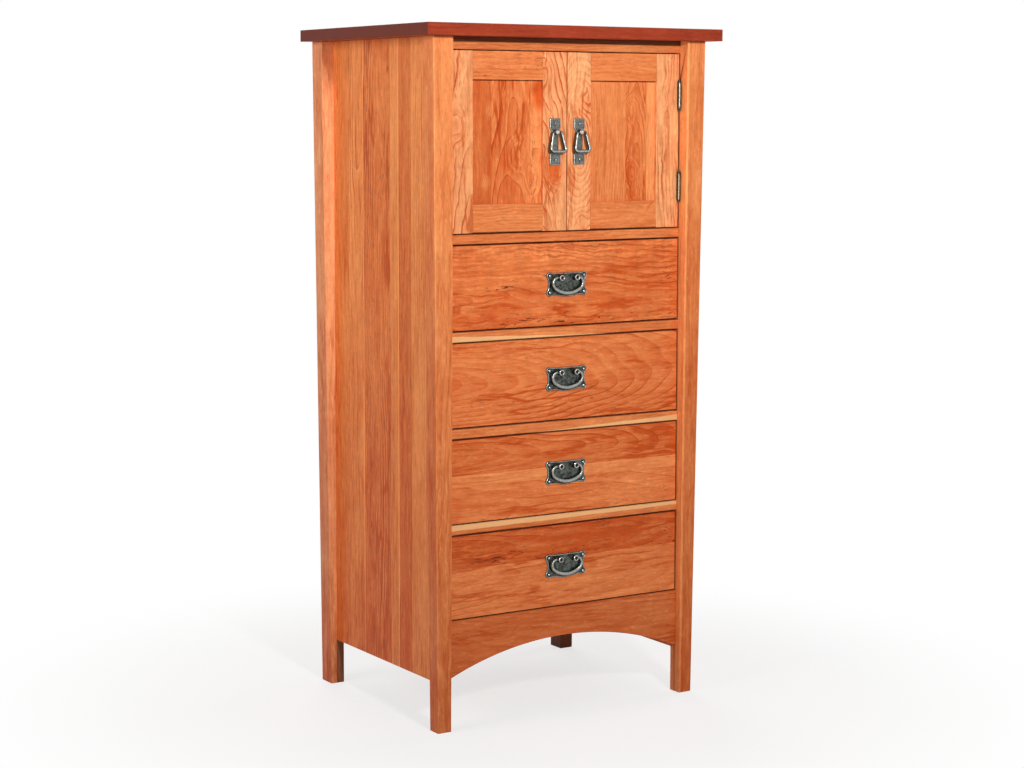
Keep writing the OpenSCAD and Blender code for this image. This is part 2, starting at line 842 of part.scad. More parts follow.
// Ring with its axis along X through the origin: two end pins, shoulders, slanting legs and a straight foot
module ring_rod() {
    leg = [ring_foot - ring_top, -ring_drop];
    lean = atan2(leg.x, -leg.y);
    turn_top = 90 - lean;
    cut_top = ring_shoulder * tan(turn_top / 2);
    turn_foot = 90 + lean;
    cut_foot = ring_bend * tan(turn_foot / 2);
    top_end = [ring_top, 0] + cut_top * leg / norm(leg);
    foot_start = [ring_foot, -ring_drop] - cut_foot * leg / norm(leg);
    pair() {
        end_pin(ring_pin_in, ring_top - cut_top, ring_pin_r, ring_r);
        bend([ring_top - cut_top, -ring_shoulder], ring_shoulder, ring_r, 90 - turn_top, turn_top);
        run(top_end, foot_start, ring_r);
        bend([ring_foot - cut_foot, ring_bend - ring_drop], ring_bend, ring_r, -90, turn_foot);
        knot(top_end, ring_r);
        knot(foot_start, ring_r);
        knot([ring_foot - cut_foot, -ring_drop], ring_r);
    }
    run([cut_foot - ring_foot, -ring_drop], [ring_foot - cut_foot, -ring_drop], ring_r);
}

module pull_ring() {
    translate([pull_x, ring_axis_y, ring_axis_z]) rotate([-ring_tilt, 0, 0]) ring_rod();
}

module left_door_stiles() {
    color(LIGHT_CHERRY) mirror([1, 0, 0]) door_stiles();
}

module left_door_rails() {
    color(CHERRY) mirror([1, 0, 0]) door_rails();
}

module left_door_panel() {
    color(CHERRY) mirror([1, 0, 0]) door_panel();
}

module left_door_hinge_leaves() {
    color(PEWTER) mirror([1, 0, 0]) door_leaves();
}

module left_door_catch_plate() {
    color(PEWTER) mirror([1, 0, 0]) catch_plate();
}

module left_pull_plate() {
    color(PEWTER) mirror([1, 0, 0]) pull_plate();
}

module left_pull_ring() {
    color(PEWTER) mirror([1, 0, 0]) pull_ring();
}

module right_door_stiles() {
    color(LIGHT_CHERRY) door_stiles();
}

module right_door_rails() {
    color(CHERRY) door_rails();
}

module right_door_panel() {
    color(CHERRY) door_panel();
}

module right_door_hinge_leaves() {
    color(PEWTER) door_leaves();
}

module right_door_catch_plate() {
    color(PEWTER) catch_plate();
}

module right_pull_plate() {
    color(PEWTER) pull_plate();
}

module right_pull_ring() {
    color(PEWTER) pull_ring();
}

// Drawers: n counts from the top

function drawer_z(n) = opening_z(n) + front_gap;
function pull_z(n) = opening_z(n) + drawer_open_h / 2;
function bottom_z(n) = drawer_z(n) + bottom_up;

// Dovetails of the right side, grown by room when they cut the sockets
module drawer_tails(n, room = 0) {
    for (k = [0:tails - 1]) {
        mid = drawer_z(n) + (k + 0.5) * tail_pitch;
        root = tail_root / 2 + room;
        tip = root + tail_flare;
        plate_x(drawer_inner_x - room, drawer_half_w + (room > 0 ? PAST : 0)) polygon([
            [drawer_front_back + PAST, mid - root], [drawer_front_back, mid - root],
            [drawer_front_back - tail_l - room, mid - tip], [drawer_front_back - tail_l - room, mid + tip],
            [drawer_front_back, mid + root], [drawer_front_back + PAST, mid + root]
        ]);
    }
}

module drawer_bottom_shape(n, room = 0) {
    side = drawer_inner_x + bottom_groove - joint_gap + room;
    rear = room > 0 ? drawer_rear + PAST : drawer_back_rear;
    box([-side, drawer_front_back - bottom_groove + joint_gap - room, bottom_z(n) - room],
        [side, rear, bottom_z(n) + bottom_t + room]);
}

module drawer_back_shape(n, room = 0) {
    side = drawer_inner_x + drawer_back_in - joint_gap + room;
    box([-side, drawer_back_rear - drawer_back_t - room, bottom_z(n) + bottom_t],
        [side, drawer_back_rear + room, drawer_z(n) + drawer_side_h - drawer_back_drop + room]);
}

module drawer_front(n) {
    color(CHERRY) difference() {
        box([-drawer_half_w, face, drawer_z(n)],
            [drawer_half_w, drawer_front_back, opening_z(n) + drawer_open_h - front_gap]);
        pair() drawer_tails(n, joint_gap);
        drawer_bottom_shape(n, joint_gap);
        pair() pull_bore(n, face - PAST, drawer_front_back + PAST);
        pull_nails(n, pin_gap);
    }
}

module drawer_sides(n) {
    color(INSIDE_WOOD) pair() difference() {
        union() {
            box([drawer_inner_x, drawer_front_back, drawer_z(n)],
                [drawer_half_w, drawer_rear, drawer_z(n) + drawer_side_h]);
            drawer_tails(n);
        }
        drawer_bottom_shape(n, joint_gap);
        drawer_back_shape(n, joint_gap);
    }
}

module drawer_back(n) {
    color(INSIDE_WOOD) drawer_back_shape(n);
}

module drawer_bottom(n) {
    color(INSIDE_WOOD) drawer_bottom_shape(n);
}

// Bail pulls

module plate_outline() {
    union() {
        square([plate_w - 2 * plate_waist, plate_h - plate_waist], center = true);
        for (side = [-1, 1], end = [-1, 1])
            translate([side * nail_x, end * nail_z]) circle(r = plate_ear_r);
        intersection() {
            translate([0, plate_swell_r - plate_h / 2 - plate_swell]) circle(r = plate_swell_r);
            translate([-plate_w / 4, -plate_h]) square([plate_w / 2, plate_h]);
        }
    }
}

// Bore for the threaded tail of the right post
module pull_bore(n, y0, y1) {
    rod_y(pull_spacing / 2, y0, y1, pull_z(n) + pull_up, pull_tail_r + pin_gap);
}

// Shanks of the four nails in the backplate
module pull_nails(n, room = 0) {
    for (side = [-1, 1], end = [-1, 1])
        rod_y(side * nail_x, plate_seat - room, face + nail_l + room, pull_z(n) + end * nail_z,
            nail_shank_r + room);
}

// Backplate, four nails, and two posts with their nuts inside the drawer
module drawer_pull_plate(n) {
    color(PEWTER) {
        difference() {
            translate([0, 0, pull_z(n)]) plate_y(face - plate_t, face) plate_outline();
            pull_nails(n, pin_gap);
            pair() pull_bore(n, face - plate_t - PAST, face + PAST);
        }
        pull_nails(n);
        for (side = [-1, 1], end = [-1, 1])
            translate([side * nail_x, plate_seat, pull_z(n) + end * nail_z]) nail_head();
        pair() {
            difference() {
                pull_post(n);
                rod_x(0, pull_spacing, bail_axis_y, pull_z(n) + pull_up, bail_pin_r + pin_gap);
            }
            difference() {
                translate([pull_spacing / 2, drawer_front_back + nut_t, pull_z(n) + pull_up])
                    rotate([90, 0, 0]) cylinder(h = nut_t, r = nut_r, $fn = 6);
                pull_bore(n, drawer_front_back - PAST, drawer_front_back + nut_t + PAST);
            }
        }
    }
}

// Domed head that sits on the backplate
module nail_head() {
    difference() {
        translate([0, nail_r / 2, 0]) sphere(r = nail_r * nail_dome);
        box([-2 * nail_r, 0, -2 * nail_r], [2 * nail_r, 4 * nail_r, 2 * nail_r]);
    }
}

module pull_post(n) {
    z = pull_z(n) + pull_up;
    x = pull_spacing / 2;
    rod_y(x, face - pull_post_l + pull_post_r / 2, plate_seat, z, pull_post_r);
    rod_y(x, plate_seat, drawer_front_back + nut_t + tail_past_nut, z, pull_tail_r);
    translate([x, face - pull_post_l + pull_post_r / 2, z]) rotate([90, 0, 0])
        cylinder(h = pull_post_r / 2, r1 = pull_post_r, r2 = pull_post_r / 2);
}

// Bail with its axis along X through the origin: end pins, shoulders, corners and a wide arc along its foot
module bail_rod() {
    pair() {
        end_pin(bail_pin_in, bail_shoulder_x, bail_pin_r, bail_r);
        bend([bail_shoulder_x, -bail_shoulder_r], bail_shoulder_r, bail_r, 0, 90);
        bend([bail_foot_x, -bail_shoulder_r], bail_corner_r, bail_r,
            bail_foot_angle - 90, 90 - bail_foot_angle);
        knot([bail_half_w, -bail_shoulder_r], bail_r);
        knot([bail_foot_x + bail_corner_r * sin(bail_foot_angle),
            -bail_shoulder_r - bail_corner_r * cos(bail_foot_angle)], bail_r);
    }
    bend([0, bail_foot_r - bail_drop], bail_foot_r, bail_r, -90 - bail_foot_angle, 2 * bail_foot_angle);
}

module drawer_bail(n) {
    color(PEWTER) translate([0, bail_axis_y, pull_z(n) + pull_up]) bail_rod();
}

top_board();
front_left_post();
front_right_post();
rear_left_post();
rear_right_post();
left_side_panel();
right_side_panel();
back_panel();
rear_rails();
top_rail();
front_rails();
apron();
drawer_runners();
drawer_stops();
cabinet_floor();
cabinet_shelf();
shelf_pins();
top_cleats();
top_screws();
door_catches();
case_hinge_leaves();
hinge_pins();
left_door_stiles();
left_door_rails();
left_door_panel();
left_door_hinge_leaves();
left_door_catch_plate();
left_pull_plate();
left_pull_ring();
right_door_stiles();
right_door_rails();
right_door_panel();
right_door_hinge_leaves();
right_door_catch_plate();
right_pull_plate();
right_pull_ring();
for (n = [1:DRAWERS]) {
    drawer_front(n);
    drawer_sides(n);
    drawer_back(n);
    drawer_bottom(n);
    drawer_pull_plate(n);
    drawer_bail(n);
}
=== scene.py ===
"""Looks of a tall cherry chest of drawers, built around its fixed frame. Lengths are in metres."""
import math

import bmesh
import bpy
from mathutils import Matrix, Vector, noise


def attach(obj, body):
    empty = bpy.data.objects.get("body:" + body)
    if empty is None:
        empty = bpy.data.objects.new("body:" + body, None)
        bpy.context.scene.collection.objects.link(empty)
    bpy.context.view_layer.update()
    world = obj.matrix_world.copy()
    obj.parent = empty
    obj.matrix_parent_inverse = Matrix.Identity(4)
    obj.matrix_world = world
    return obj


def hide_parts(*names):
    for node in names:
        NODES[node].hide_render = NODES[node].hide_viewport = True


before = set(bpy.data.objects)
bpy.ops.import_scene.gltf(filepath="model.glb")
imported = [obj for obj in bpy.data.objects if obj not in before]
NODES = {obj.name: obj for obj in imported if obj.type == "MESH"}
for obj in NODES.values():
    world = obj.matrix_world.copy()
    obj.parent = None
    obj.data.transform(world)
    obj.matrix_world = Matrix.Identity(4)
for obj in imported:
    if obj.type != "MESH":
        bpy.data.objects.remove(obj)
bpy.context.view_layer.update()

MM = 0.001
FACE = -217.5 * MM           # front of the drawers and doors
FRONT_BACK = -197.5 * MM     # back of the drawer fronts
INNER_X = 281 * MM           # inner faces of the posts
FOOT_TOP = 95 * MM           # lower edge of the side panels
LOWEST_OPENING = 220 * MM    # lower edge of the lowest drawer's opening
OPENING_H = 172.5 * MM
RAIL_H = 20 * MM
DOOR_MID = 1170.5 * MM       # middle height of the doors


# Node trees
class Graph:
    """Adds nodes to one tree. Values may be numbers, colours or the outputs of other nodes."""

    def __init__(self, tree):
        self.tree = tree

    def feed(self, socket, value):
        if isinstance(value, bpy.types.NodeSocket):
            self.tree.links.new(value, socket)
        else:
            socket.default_value = value

    def node(self, kind, inputs=None, **settings):
        made = self.tree.nodes.new(kind)
        for key, value in settings.items():
            setattr(made, key, value)
        for key, value in (inputs or {}).items():
            self.feed(made.inputs[key], value)
        return made

    def math(self, operation, a, b=0.0, clamp=False):
        return self.node("ShaderNodeMath", {0: a, 1: b}, operation=operation, use_clamp=clamp).outputs[0]

    def sum(self, *terms):
        total = terms[0]
        for term in terms[1:]:
            total = self.math("ADD", total, term)
        return total

    def times(self, a, b):
        return self.math("MULTIPLY", a, b)

    def minus(self, a, b):
        return self.math("SUBTRACT", a, b)

    def over(self, a, b):
        return self.math("DIVIDE", a, b)

    def most(self, a, b):
        return self.math("MAXIMUM", a, b)

    def absolute(self, value):
        return self.math("ABSOLUTE", value)

    def invert(self, value):
        return self.minus(1.0, value)

    def length(self, a, b):
        """Length of the vector (a, b)."""
        return self.math("SQRT", self.sum(self.times(a, a), self.times(b, b)))

    def swing(self, value, amount):
        """A noise of 0 to 1, turned into one of minus to plus half of amount."""
        return self.times(self.minus(value, 0.5), amount)

    def smooth(self, value, low, high):
        """0 up to low, 1 from high on, and a smooth rise between them."""
        ends = {"Value": value, "From Min": low, "From Max": high}
        return self.node("ShaderNodeMapRange", ends, interpolation_type="SMOOTHSTEP").outputs[0]

    def fade(self, value, low, high):
        """1 up to low, 0 from high on, and a smooth fall between them."""
        return self.invert(self.smooth(value, low, high))

    def mix(self, factor, a, b, blend="MIX"):
        made = self.node("ShaderNodeMix", {0: factor, 6: a, 7: b}, data_type="RGBA", blend_type=blend)
        return made.outputs[2]

    def split(self, vector):
        return self.node("ShaderNodeSeparateXYZ", {0: vector}).outputs

    def join(self, x, y, z):
        return self.node("ShaderNodeCombineXYZ", {0: x, 1: y, 2: z}).outputs[0]

    def stretch(self, vector, scales):
        return self.node("ShaderNodeVectorMath", {0: vector, 1: scales}, operation="MULTIPLY").outputs[0]

    def shift(self, vector, by):
        return self.node("ShaderNodeVectorMath", {0: vector, 1: by}, operation="ADD").outputs[0]

    def noise(self, point, along, across=None, detail=2.0, roughness=0.5, warp=0.0):
        """Noise of 0 to 1, with so many cycles per metre along X and across it. One number serves all
        ways."""
        across = across or along
        inputs = {"Vector": self.stretch(point, (along, across, across)), "Scale": 1.0, "Detail": detail,
                  "Roughness": roughness, "Distortion": warp}
        return self.node("ShaderNodeTexNoise", inputs).outputs[0]

    def object_point(self):
        return self.node("ShaderNodeTexCoord").outputs["Object"]


def new_material(name):
    made = bpy.data.materials.new(name)
    made.use_nodes = True
    return made, Graph(made.node_tree), made.node_tree.nodes["Principled BSDF"]


def srgb(red, green, blue):
    """Linear colour of an sRGB one of 0 to 255."""
    return tuple(((c / 255 + 0.055) / 1.055) ** 2.4 for c in (red, green, blue)) + (1.0,)


def wood_colours(light, deep, line, red):
    """Colours of one wood: its lightest and deepest, its ring lines and its red patches."""
    return {"Light": srgb(*light), "Deep": srgb(*deep), "Line": srgb(*line), "Red": srgb(*red)}


# Wood
CHERRY = wood_colours((246, 158, 96), (208, 88, 34), (182, 66, 24), (210, 74, 34))
SIDE_CHERRY = wood_colours((250, 158, 90), (210, 88, 26), (172, 56, 20), (206, 74, 24))
STILE_CHERRY = wood_colours((248, 176, 120), (218, 104, 50), (196, 74, 30), (222, 84, 40))
POST_CHERRY = wood_colours((240, 158, 98), (204, 86, 30), (180, 70, 28), (210, 74, 30))
TOP_CHERRY = wood_colours((182, 76, 46), (138, 42, 22), (96, 28, 14), (170, 52, 34))
PLAIN_WOOD = wood_colours((232, 190, 144), (210, 158, 110), (180, 126, 82), (206, 148, 104))
SAPWOOD = srgb(250, 204, 144)
FLECK = srgb(92, 36, 16)
GUM = srgb(74, 26, 14)
END_GRAIN = srgb(104, 40, 22)
GAP_SHADE = srgb(92, 26, 8)
FOOT_SHADE = srgb(44, 33, 27)
AXES = {"X": 0, "Y": 1, "Z": 2}
GROUP_INPUTS = {"Point": "Vector", "Pith": "Vector"}
for names, kind in ((("Seed", "Tone", "Hue", "Curl", "Fleck", "Lines", "Step", "Wander"), "Float"),
                    (("Light", "Deep", "Line", "Red"), "Color")):
    GROUP_INPUTS.update(dict.fromkeys(names, kind))
GROUP_OUTPUTS = {"Color": "Color", "Height": "Float", "Roughness": "Float"}


def wood_figure():
    """Node group of sawn wood: growth rings round a pith line, fibres, blotches, curl and dark flecks. Its
    point is (along, across, depth), and its pith is (across, depth, slope along)."""
    group = bpy.data.node_groups.new("wood_figure", "ShaderNodeTree")
    for way, sockets in (("INPUT", GROUP_INPUTS), ("OUTPUT", GROUP_OUTPUTS)):
        for name, kind in sockets.items():
            group.interface.new_socket(name=name, in_out=way, socket_type="NodeSocket" + kind)
    g = Graph(group)
    given = group.nodes.new("NodeGroupInput").outputs
    result = group.nodes.new("NodeGroupOutput").inputs
    along, across, depth = g.split(given["Point"])
    pith_across, pith_depth, slope = g.split(given["Pith"])
    seed = g.times(given["Seed"], 37.0)
    p = g.shift(given["Point"], g.join(seed, g.times(seed, 0.61), g.times(seed, 1.37)))
    other = g.shift(p, (11.3, 4.7, 8.9))
    third = g.shift(p, (3.9, 15.1, 21.7))

    # Growth rings
    wander = given["Wander"]
    wide = g.noise(p, 2.2, 7.0)
    slow = g.noise(other, 1.8, 6.0)
    small = g.noise(p, 13.0, 48.0, detail=3.0)
    waves = g.noise(third, 15.0, 24.0, detail=2.5)
    wavy = g.times(g.minus(waves, 0.5), g.times(given["Curl"], 0.09))
    a = g.sum(g.minus(across, pith_across), g.times(g.swing(wide, 0.06), wander), g.swing(small, 0.006), wavy)
    b = g.sum(g.minus(depth, pith_depth), g.times(slope, along), g.times(g.swing(slow, 0.06), wander))
    radius = g.length(a, b)
    phase = g.math("FRACT", g.over(radius, given["Step"]))
    shade = g.times(g.smooth(phase, 0.0, 0.9), g.fade(phase, 0.94, 1.0))
    bend = g.times(b, slope)
    spread = g.most(g.over(g.length(a, bend), radius), 0.04)
    gap = g.over(g.times(g.invert(phase), given["Step"]), spread)
    line = g.fade(gap, 1.0 * MM, 4.2 * MM)
    seen = g.smooth(g.noise(other, 2.2, 14.0, detail=3.0), 0.40, 0.62)
    line = g.times(line, seen)
    line = g.times(line, g.smooth(g.noise(third, 46.0, 90.0), 0.22, 0.50))

    # Fine veins: contours of a noise drawn out along the grain
    bent = g.shift(p, g.join(0.0, g.times(wavy, 1.5), 0.0))
    drawn = g.noise(bent, 3.2, 30.0, detail=3.0, roughness=0.55, warp=0.15)
    level = g.math("FRACT", g.times(drawn, 5.0))
    vein = g.fade(g.absolute(g.minus(level, 0.5)), 0.05, 0.22)
    vein = g.times(vein, g.smooth(g.noise(third, 4.0, 22.0, detail=3.0), 0.42, 0.66))

    # Colour between the rings
    fibre = g.noise(p, 14.0, 620.0, detail=3.0, roughness=0.6)
    grain = g.noise(third, 34.0, 210.0, detail=4.0, roughness=0.7)
    streak = g.noise(other, 5.0, 110.0, detail=3.0, roughness=0.55)
    blotch = g.noise(p, 6.5, 19.0, detail=4.0, roughness=0.62, warp=0.6)
    curl = g.noise(other, 60.0, 12.0, warp=0.8)
    mottle = g.noise(third, 26.0, 75.0, detail=3.0, roughness=0.6, warp=0.5)
    pore = g.smooth(g.noise(other, 52.0, 270.0), 0.56, 0.70)
    speck = g.smooth(g.noise(p, 70.0, 230.0), 0.58, 0.74)
    hue = g.sum(given["Hue"], g.swing(blotch, 0.65), g.swing(wide, 0.4), g.swing(streak, 0.5),
                g.swing(grain, 0.4), g.swing(mottle, 0.3), g.times(speck, -0.15),
                g.times(g.times(shade, given["Lines"]), 0.22), g.times(g.times(vein, given["Lines"]), 0.6))
    colour = g.mix(g.math("ADD", hue, 0.0, clamp=True), given["Light"], given["Deep"])
    red = g.smooth(g.noise(third, 7.0, 26.0, detail=3.0, warp=1.0), 0.60, 0.74)
    colour = g.mix(g.times(red, g.times(given["Curl"], 1.6)), colour, given["Red"])
    colour = g.mix(g.times(line, given["Lines"]), colour, given["Line"])
    tone = g.sum(1.0, g.swing(fibre, -0.24), g.swing(grain, -0.32), g.swing(streak, -0.14),
                 g.swing(blotch, -0.08), g.swing(mottle, -0.08), g.times(pore, -0.13), g.times(speck, 0.10),
                 g.times(g.times(vein, given["Lines"]), -0.14),
                 g.times(given["Curl"], g.sum(g.swing(curl, 1.1), g.swing(mottle, -1.2))))
    tone = g.times(tone, given["Tone"])
    colour = g.mix(1.0, colour, g.join(tone, tone, tone), blend="MULTIPLY")
    where = g.smooth(g.noise(p, 6.0, 15.0), 0.50, 0.62)
    dash = g.smooth(g.noise(other, 42.0, 270.0, warp=1.2), 0.60, 0.68)
    colour = g.mix(g.times(g.times(dash, where), given["Fleck"]), colour, FLECK)
    gum = g.smooth(g.noise(third, 19.0, 120.0, detail=3.0, roughness=0.6, warp=1.5), 0.66, 0.70)
    gum = g.times(g.times(gum, where), g.smooth(given["Fleck"], 0.45, 0.95))
    colour = g.mix(gum, colour, GUM)
    g.feed(result["Color"], colour)
    g.feed(result["Height"], g.sum(g.times(fibre, 0.6), g.times(grain, 0.4), g.times(line, -0.25)))
    g.feed(result["Roughness"], g.sum(0.42, g.swing(fibre, 0.2), g.swing(blotch, 0.12)))
    return group


FIGURE = wood_figure()


def plank(start, seed, hue, tone, pith, slope=0.08, lines=0.5, curl=0.08, fleck=0.3):
    """One board of a surface, from start up across the grain. A higher hue is a deeper colour. pith is
    (across, depth) of the line that the growth rings go round, and slope its slant. lines, curl and fleck
    are strengths of the figure."""
    return {"start": start, "seed": seed, "hue": hue, "tone": tone, "pith": pith, "slope": slope,
            "lines": lines, "curl": curl, "fleck": fleck}


def by_board(g, place, boards, values):
    """Four outputs, which hold on each board its own values of 0 to 1."""
    first, last = boards[0]["start"], boards[-1]["start"] + 0.2
    share = g.over(g.minus(place, first), last - first)
    ramp = g.node("ShaderNodeValToRGB", {0: share})
    ramp.color_ramp.interpolation = "CONSTANT"
    elements = ramp.color_ramp.elements
    elements.remove(elements[1])
    for i, board in enumerate(boards):
        position = (board["start"] - first) / (last - first)
        spot = elements.new(position) if i else elements[0]
        spot.position = position
        spot.color = values(board)
    colour = g.node("ShaderNodeSeparateColor", {0: ramp.outputs[0]})
    return list(colour.outputs) + [ramp.outputs[1]]


def board_inputs(g, place, boards):
    """The inputs of the wood group that differ from board to board."""
    if len(boards) == 1:
        only = boards[0]
        given = {key.capitalize(): only[key] for key in ("tone", "hue", "seed", "curl", "fleck", "lines")}
        return dict(given, Pith=(*only["pith"], only["slope"]))
    tone, hue, seed, curl = by_board(g, place, boards,
                                     lambda b: (b["tone"] / 2, b["hue"], b["seed"], b["curl"]))
    tone = g.times(tone, 2.0)
    x, y, slope, _ = by_board(g, place, boards,
                              lambda b: (b["pith"][0] / 2 + 0.5, b["pith"][1] / 2 + 0.5, b["slope"], 1))
    pith = g.join(g.times(g.minus(x, 0.5), 2.0), g.times(g.minus(y, 0.5), 2.0), slope)
    fleck, lines, _, _ = by_board(g, place, boards, lambda b: (b["fleck"], b["lines"], 0, 1))
    return {"Tone": tone, "Hue": hue, "Seed": seed, "Curl": curl, "Pith": pith, "Fleck": fleck,
            "Lines": lines}


def with_sapwood(g, colour, place, u, v, strips):
    """Pale sapwood on the edges of rails. A strip is (low, high, start, lean, way): it lies between low and
    high across the grain, above or below a line with that start and lean."""
    wobble = g.swing(g.noise(place, 6.0, 1.0), 6 * MM)
    mask = 0.0
    for low, high, start, lean, way in strips:
        level = g.minus(v, g.sum(start, g.times(u, lean), wobble))
        inside = g.times(g.smooth(v, low - MM, low), g.fade(v, high, high + MM))
        mask = g.most(mask, g.times(inside, g.smooth(g.times(level, way), -0.8 * MM, 0.8 * MM)))
    return g.mix(g.times(mask, 0.8), colour, g.mix(0.25, SAPWOOD, colour))


def with_gap_shade(g, colour, v, y, amount):
    """A front post's inner face, darker in the gap beside the doors and drawers."""
    front = g.smooth(y, FACE - 1.2 * MM, FACE - 0.6 * MM)
    front = g.times(front, g.fade(y, FACE + 4 * MM, FACE + 7 * MM))
    inner = g.fade(g.absolute(v), INNER_X + 0.3 * MM, INNER_X + 0.8 * MM)
    return g.mix(g.times(g.times(front, inner), amount), colour, GAP_SHADE)


def with_dim_foot(g, colour, v, z, normal, side, limit):
    """A rear post's foot in painted shade: darker on its front and inner faces, from the place limit inwards.
    """
    outward = g.most(g.times(normal[0], side), normal[1])
    inner = g.fade(g.times(v, side), limit - MM, limit + MM)
    low = g.fade(z, FOOT_TOP, FOOT_TOP + 2 * MM)
    dim = g.times(g.times(inner, low), g.fade(outward, 0.5, 0.7))
    return g.mix(g.times(dim, 0.68), colour, FOOT_SHADE)


def wood(name, along, across, boards, palette=CHERRY, sink=0.0, fall=0.17, coat=0.03, worn=1.0, rough=0.0,
         end_grain=0.0, flank=0.0, step=7.0, wander=1.0, sapwood=(), knots=(), lined=None, dim_foot=None,
         gap=0.0):
    """Sawn wood with its grain along one axis. boards differ across the other one and stand in order. sink
    and fall deepen and darken the colour from the top of the chest to the floor, a painted shade. flank
    deepens the faces that look across the grain, a painted shade. worn is the tone of an eased edge: above 1
    a painted highlight, below 1 a painted shade. A knot is (along, across, size, push, redness), and bends
    the rings round it. lined is the place along the grain above which a panel is painted darker in its
    groove, a painted shadow under the rail. dim_foot is (side, limit) of with_dim_foot, and gap the amount of
    with_gap_shade."""
    made, g, shader = new_material(name)
    place = g.object_point()
    parts = g.split(place)
    depth = ({"X", "Y", "Z"} - {along, across}).pop()
    u, v, w = (parts[AXES[axis]] for axis in (along, across, depth))
    figure = g.node("ShaderNodeGroup")
    figure.node_tree = FIGURE
    inputs = board_inputs(g, v, boards)
    tone, hue = inputs["Tone"], inputs["Hue"]
    for centre_u, centre_v, size, push, red in knots:
        reach = g.length(g.times(g.minus(u, centre_u), 0.6), g.minus(v, centre_v))
        near = g.fade(reach, 0.0, size)
        w = g.sum(w, g.times(near, push))
        hue = g.sum(hue, g.times(near, red))
    # Painted shadow: a panel is darker high in its groove, under the rail
    if lined:
        tone = g.times(tone, g.invert(g.times(g.smooth(u, lined - 3.2 * MM, lined - 1.8 * MM), 0.62)))
    # Painted shade: the colour deepens and darkens towards the floor
    if sink:
        hue = g.sum(hue, g.times(g.minus(1.3, parts[2]), sink))
        tone = g.times(tone, g.invert(g.times(g.minus(1.25, parts[2]), fall)))
    # Eased edges: a painted highlight above 1, a painted shade below 1
    if worn != 1.0:
        tone = g.times(tone, worn)
    normal = g.split(g.node("ShaderNodeNewGeometry").outputs["True Normal"])
    # Painted shade: the faces that look across the grain are deeper
    if flank:
        hue = g.sum(hue, g.times(g.smooth(g.absolute(normal[AXES[across]]), 0.7, 0.95), flank))
    inputs.update(palette, Tone=tone, Hue=hue, Point=g.join(u, v, w), Step=step * MM, Wander=wander)
    for key, value in inputs.items():
        g.feed(figure.inputs[key], value)
    colour = figure.outputs["Color"]
    if sapwood:
        colour = with_sapwood(g, colour, place, u, v, sapwood)
    if end_grain:
        ends = g.smooth(g.absolute(normal[AXES[along]]), 0.25, 0.5)
        colour = g.mix(g.times(ends, end_grain), colour, END_GRAIN)
    if gap:
        colour = with_gap_shade(g, colour, v, parts[1], gap)
    # Painted shade on the front and inner faces of a rear foot
    if dim_foot:
        colour = with_dim_foot(g, colour, v, parts[2], normal, *dim_foot)
    g.feed(shader.inputs["Base Color"], colour)
    g.feed(shader.inputs["Roughness"], g.sum(figure.outputs["Roughness"], rough))
    shader.inputs["Coat Weight"].default_value = coat
    shader.inputs["Coat Roughness"].default_value = 0.35
    shader.inputs["Specular IOR Level"].default_value = 0.10
    height = figure.outputs["Height"]
    bump = g.node("ShaderNodeBump", {"Height": height, "Strength": 0.35, "Distance": 0.3 * MM})
    g.feed(shader.inputs["Normal"], bump.outputs[0])
    return made


# Dressing of the CAD nodes
def ease(node, width, edge=None):
    """Rounds a CAD node's edges with modifiers. With edge, the rounded edges take that material."""
    piece = NODES[node]
    weld = piece.modifiers.new("weld", "WELD")
    weld.merge_threshold = 0.01 * MM
    bevel = piece.modifiers.new("ease", "BEVEL")
    bevel.width = width
    bevel.segments = 2
    bevel.limit_method = "ANGLE"
    bevel.angle_limit = math.radians(40)
    bevel.use_clamp_overlap = False
    if edge is not None:
        bevel.material = 1


def dress(nodes, material, width=0.0, edge=None):
    """Gives CAD nodes a material, eased edges and the material of those edges."""
    for name in nodes:
        mesh = NODES[name].data
        mesh.materials.clear()
        mesh.materials.append(material)
        if edge is not None:
            mesh.materials.append(edge)
        for face in mesh.polygons:
            face.material_index = 0
        if width:
            ease(name, width, edge)


def wooden(nodes, name, along, across, boards, width=0.8 * MM, worn=1.1, lift=0.12, **looks):
    """Wood and its eased edges, on CAD nodes. worn is the edges' tone, a painted highlight above 1 and a
    painted shade below 1, and lift takes them to the lighter hue."""
    body = wood(name, along, across, boards, **looks)
    edges = [dict(board, hue=board["hue"] - lift) for board in boards]
    edge = wood(name + "_edge", along, across, edges, worn=worn, rough=0.08, **looks) if width else None
    dress(nodes, body, width, edge)


# Top board, posts and side panels
# Painted shade: how much the hue deepens for each metre towards the floor
SINK = 0.28
wooden(["top_board"], "top_wood", "X", "Y", [
    plank(-0.2685, 0.13, 0.5, 0.98, (-0.8, 1.1), slope=0.01, lines=0.15, curl=0.0),
    plank(-0.16, 0.47, 0.6, 0.94, (-0.08, 1.3), slope=0.1, lines=0.7),
    plank(-0.03, 0.71, 0.35, 1.03, (0.2, 1.2), slope=0.02, lines=0.7),
    plank(0.1, 0.29, 0.5, 0.97, (0.18, 1.33), slope=0.12, lines=0.7),
], palette=TOP_CHERRY, width=0.9 * MM, worn=1.0, lift=0.0, end_grain=0.95)
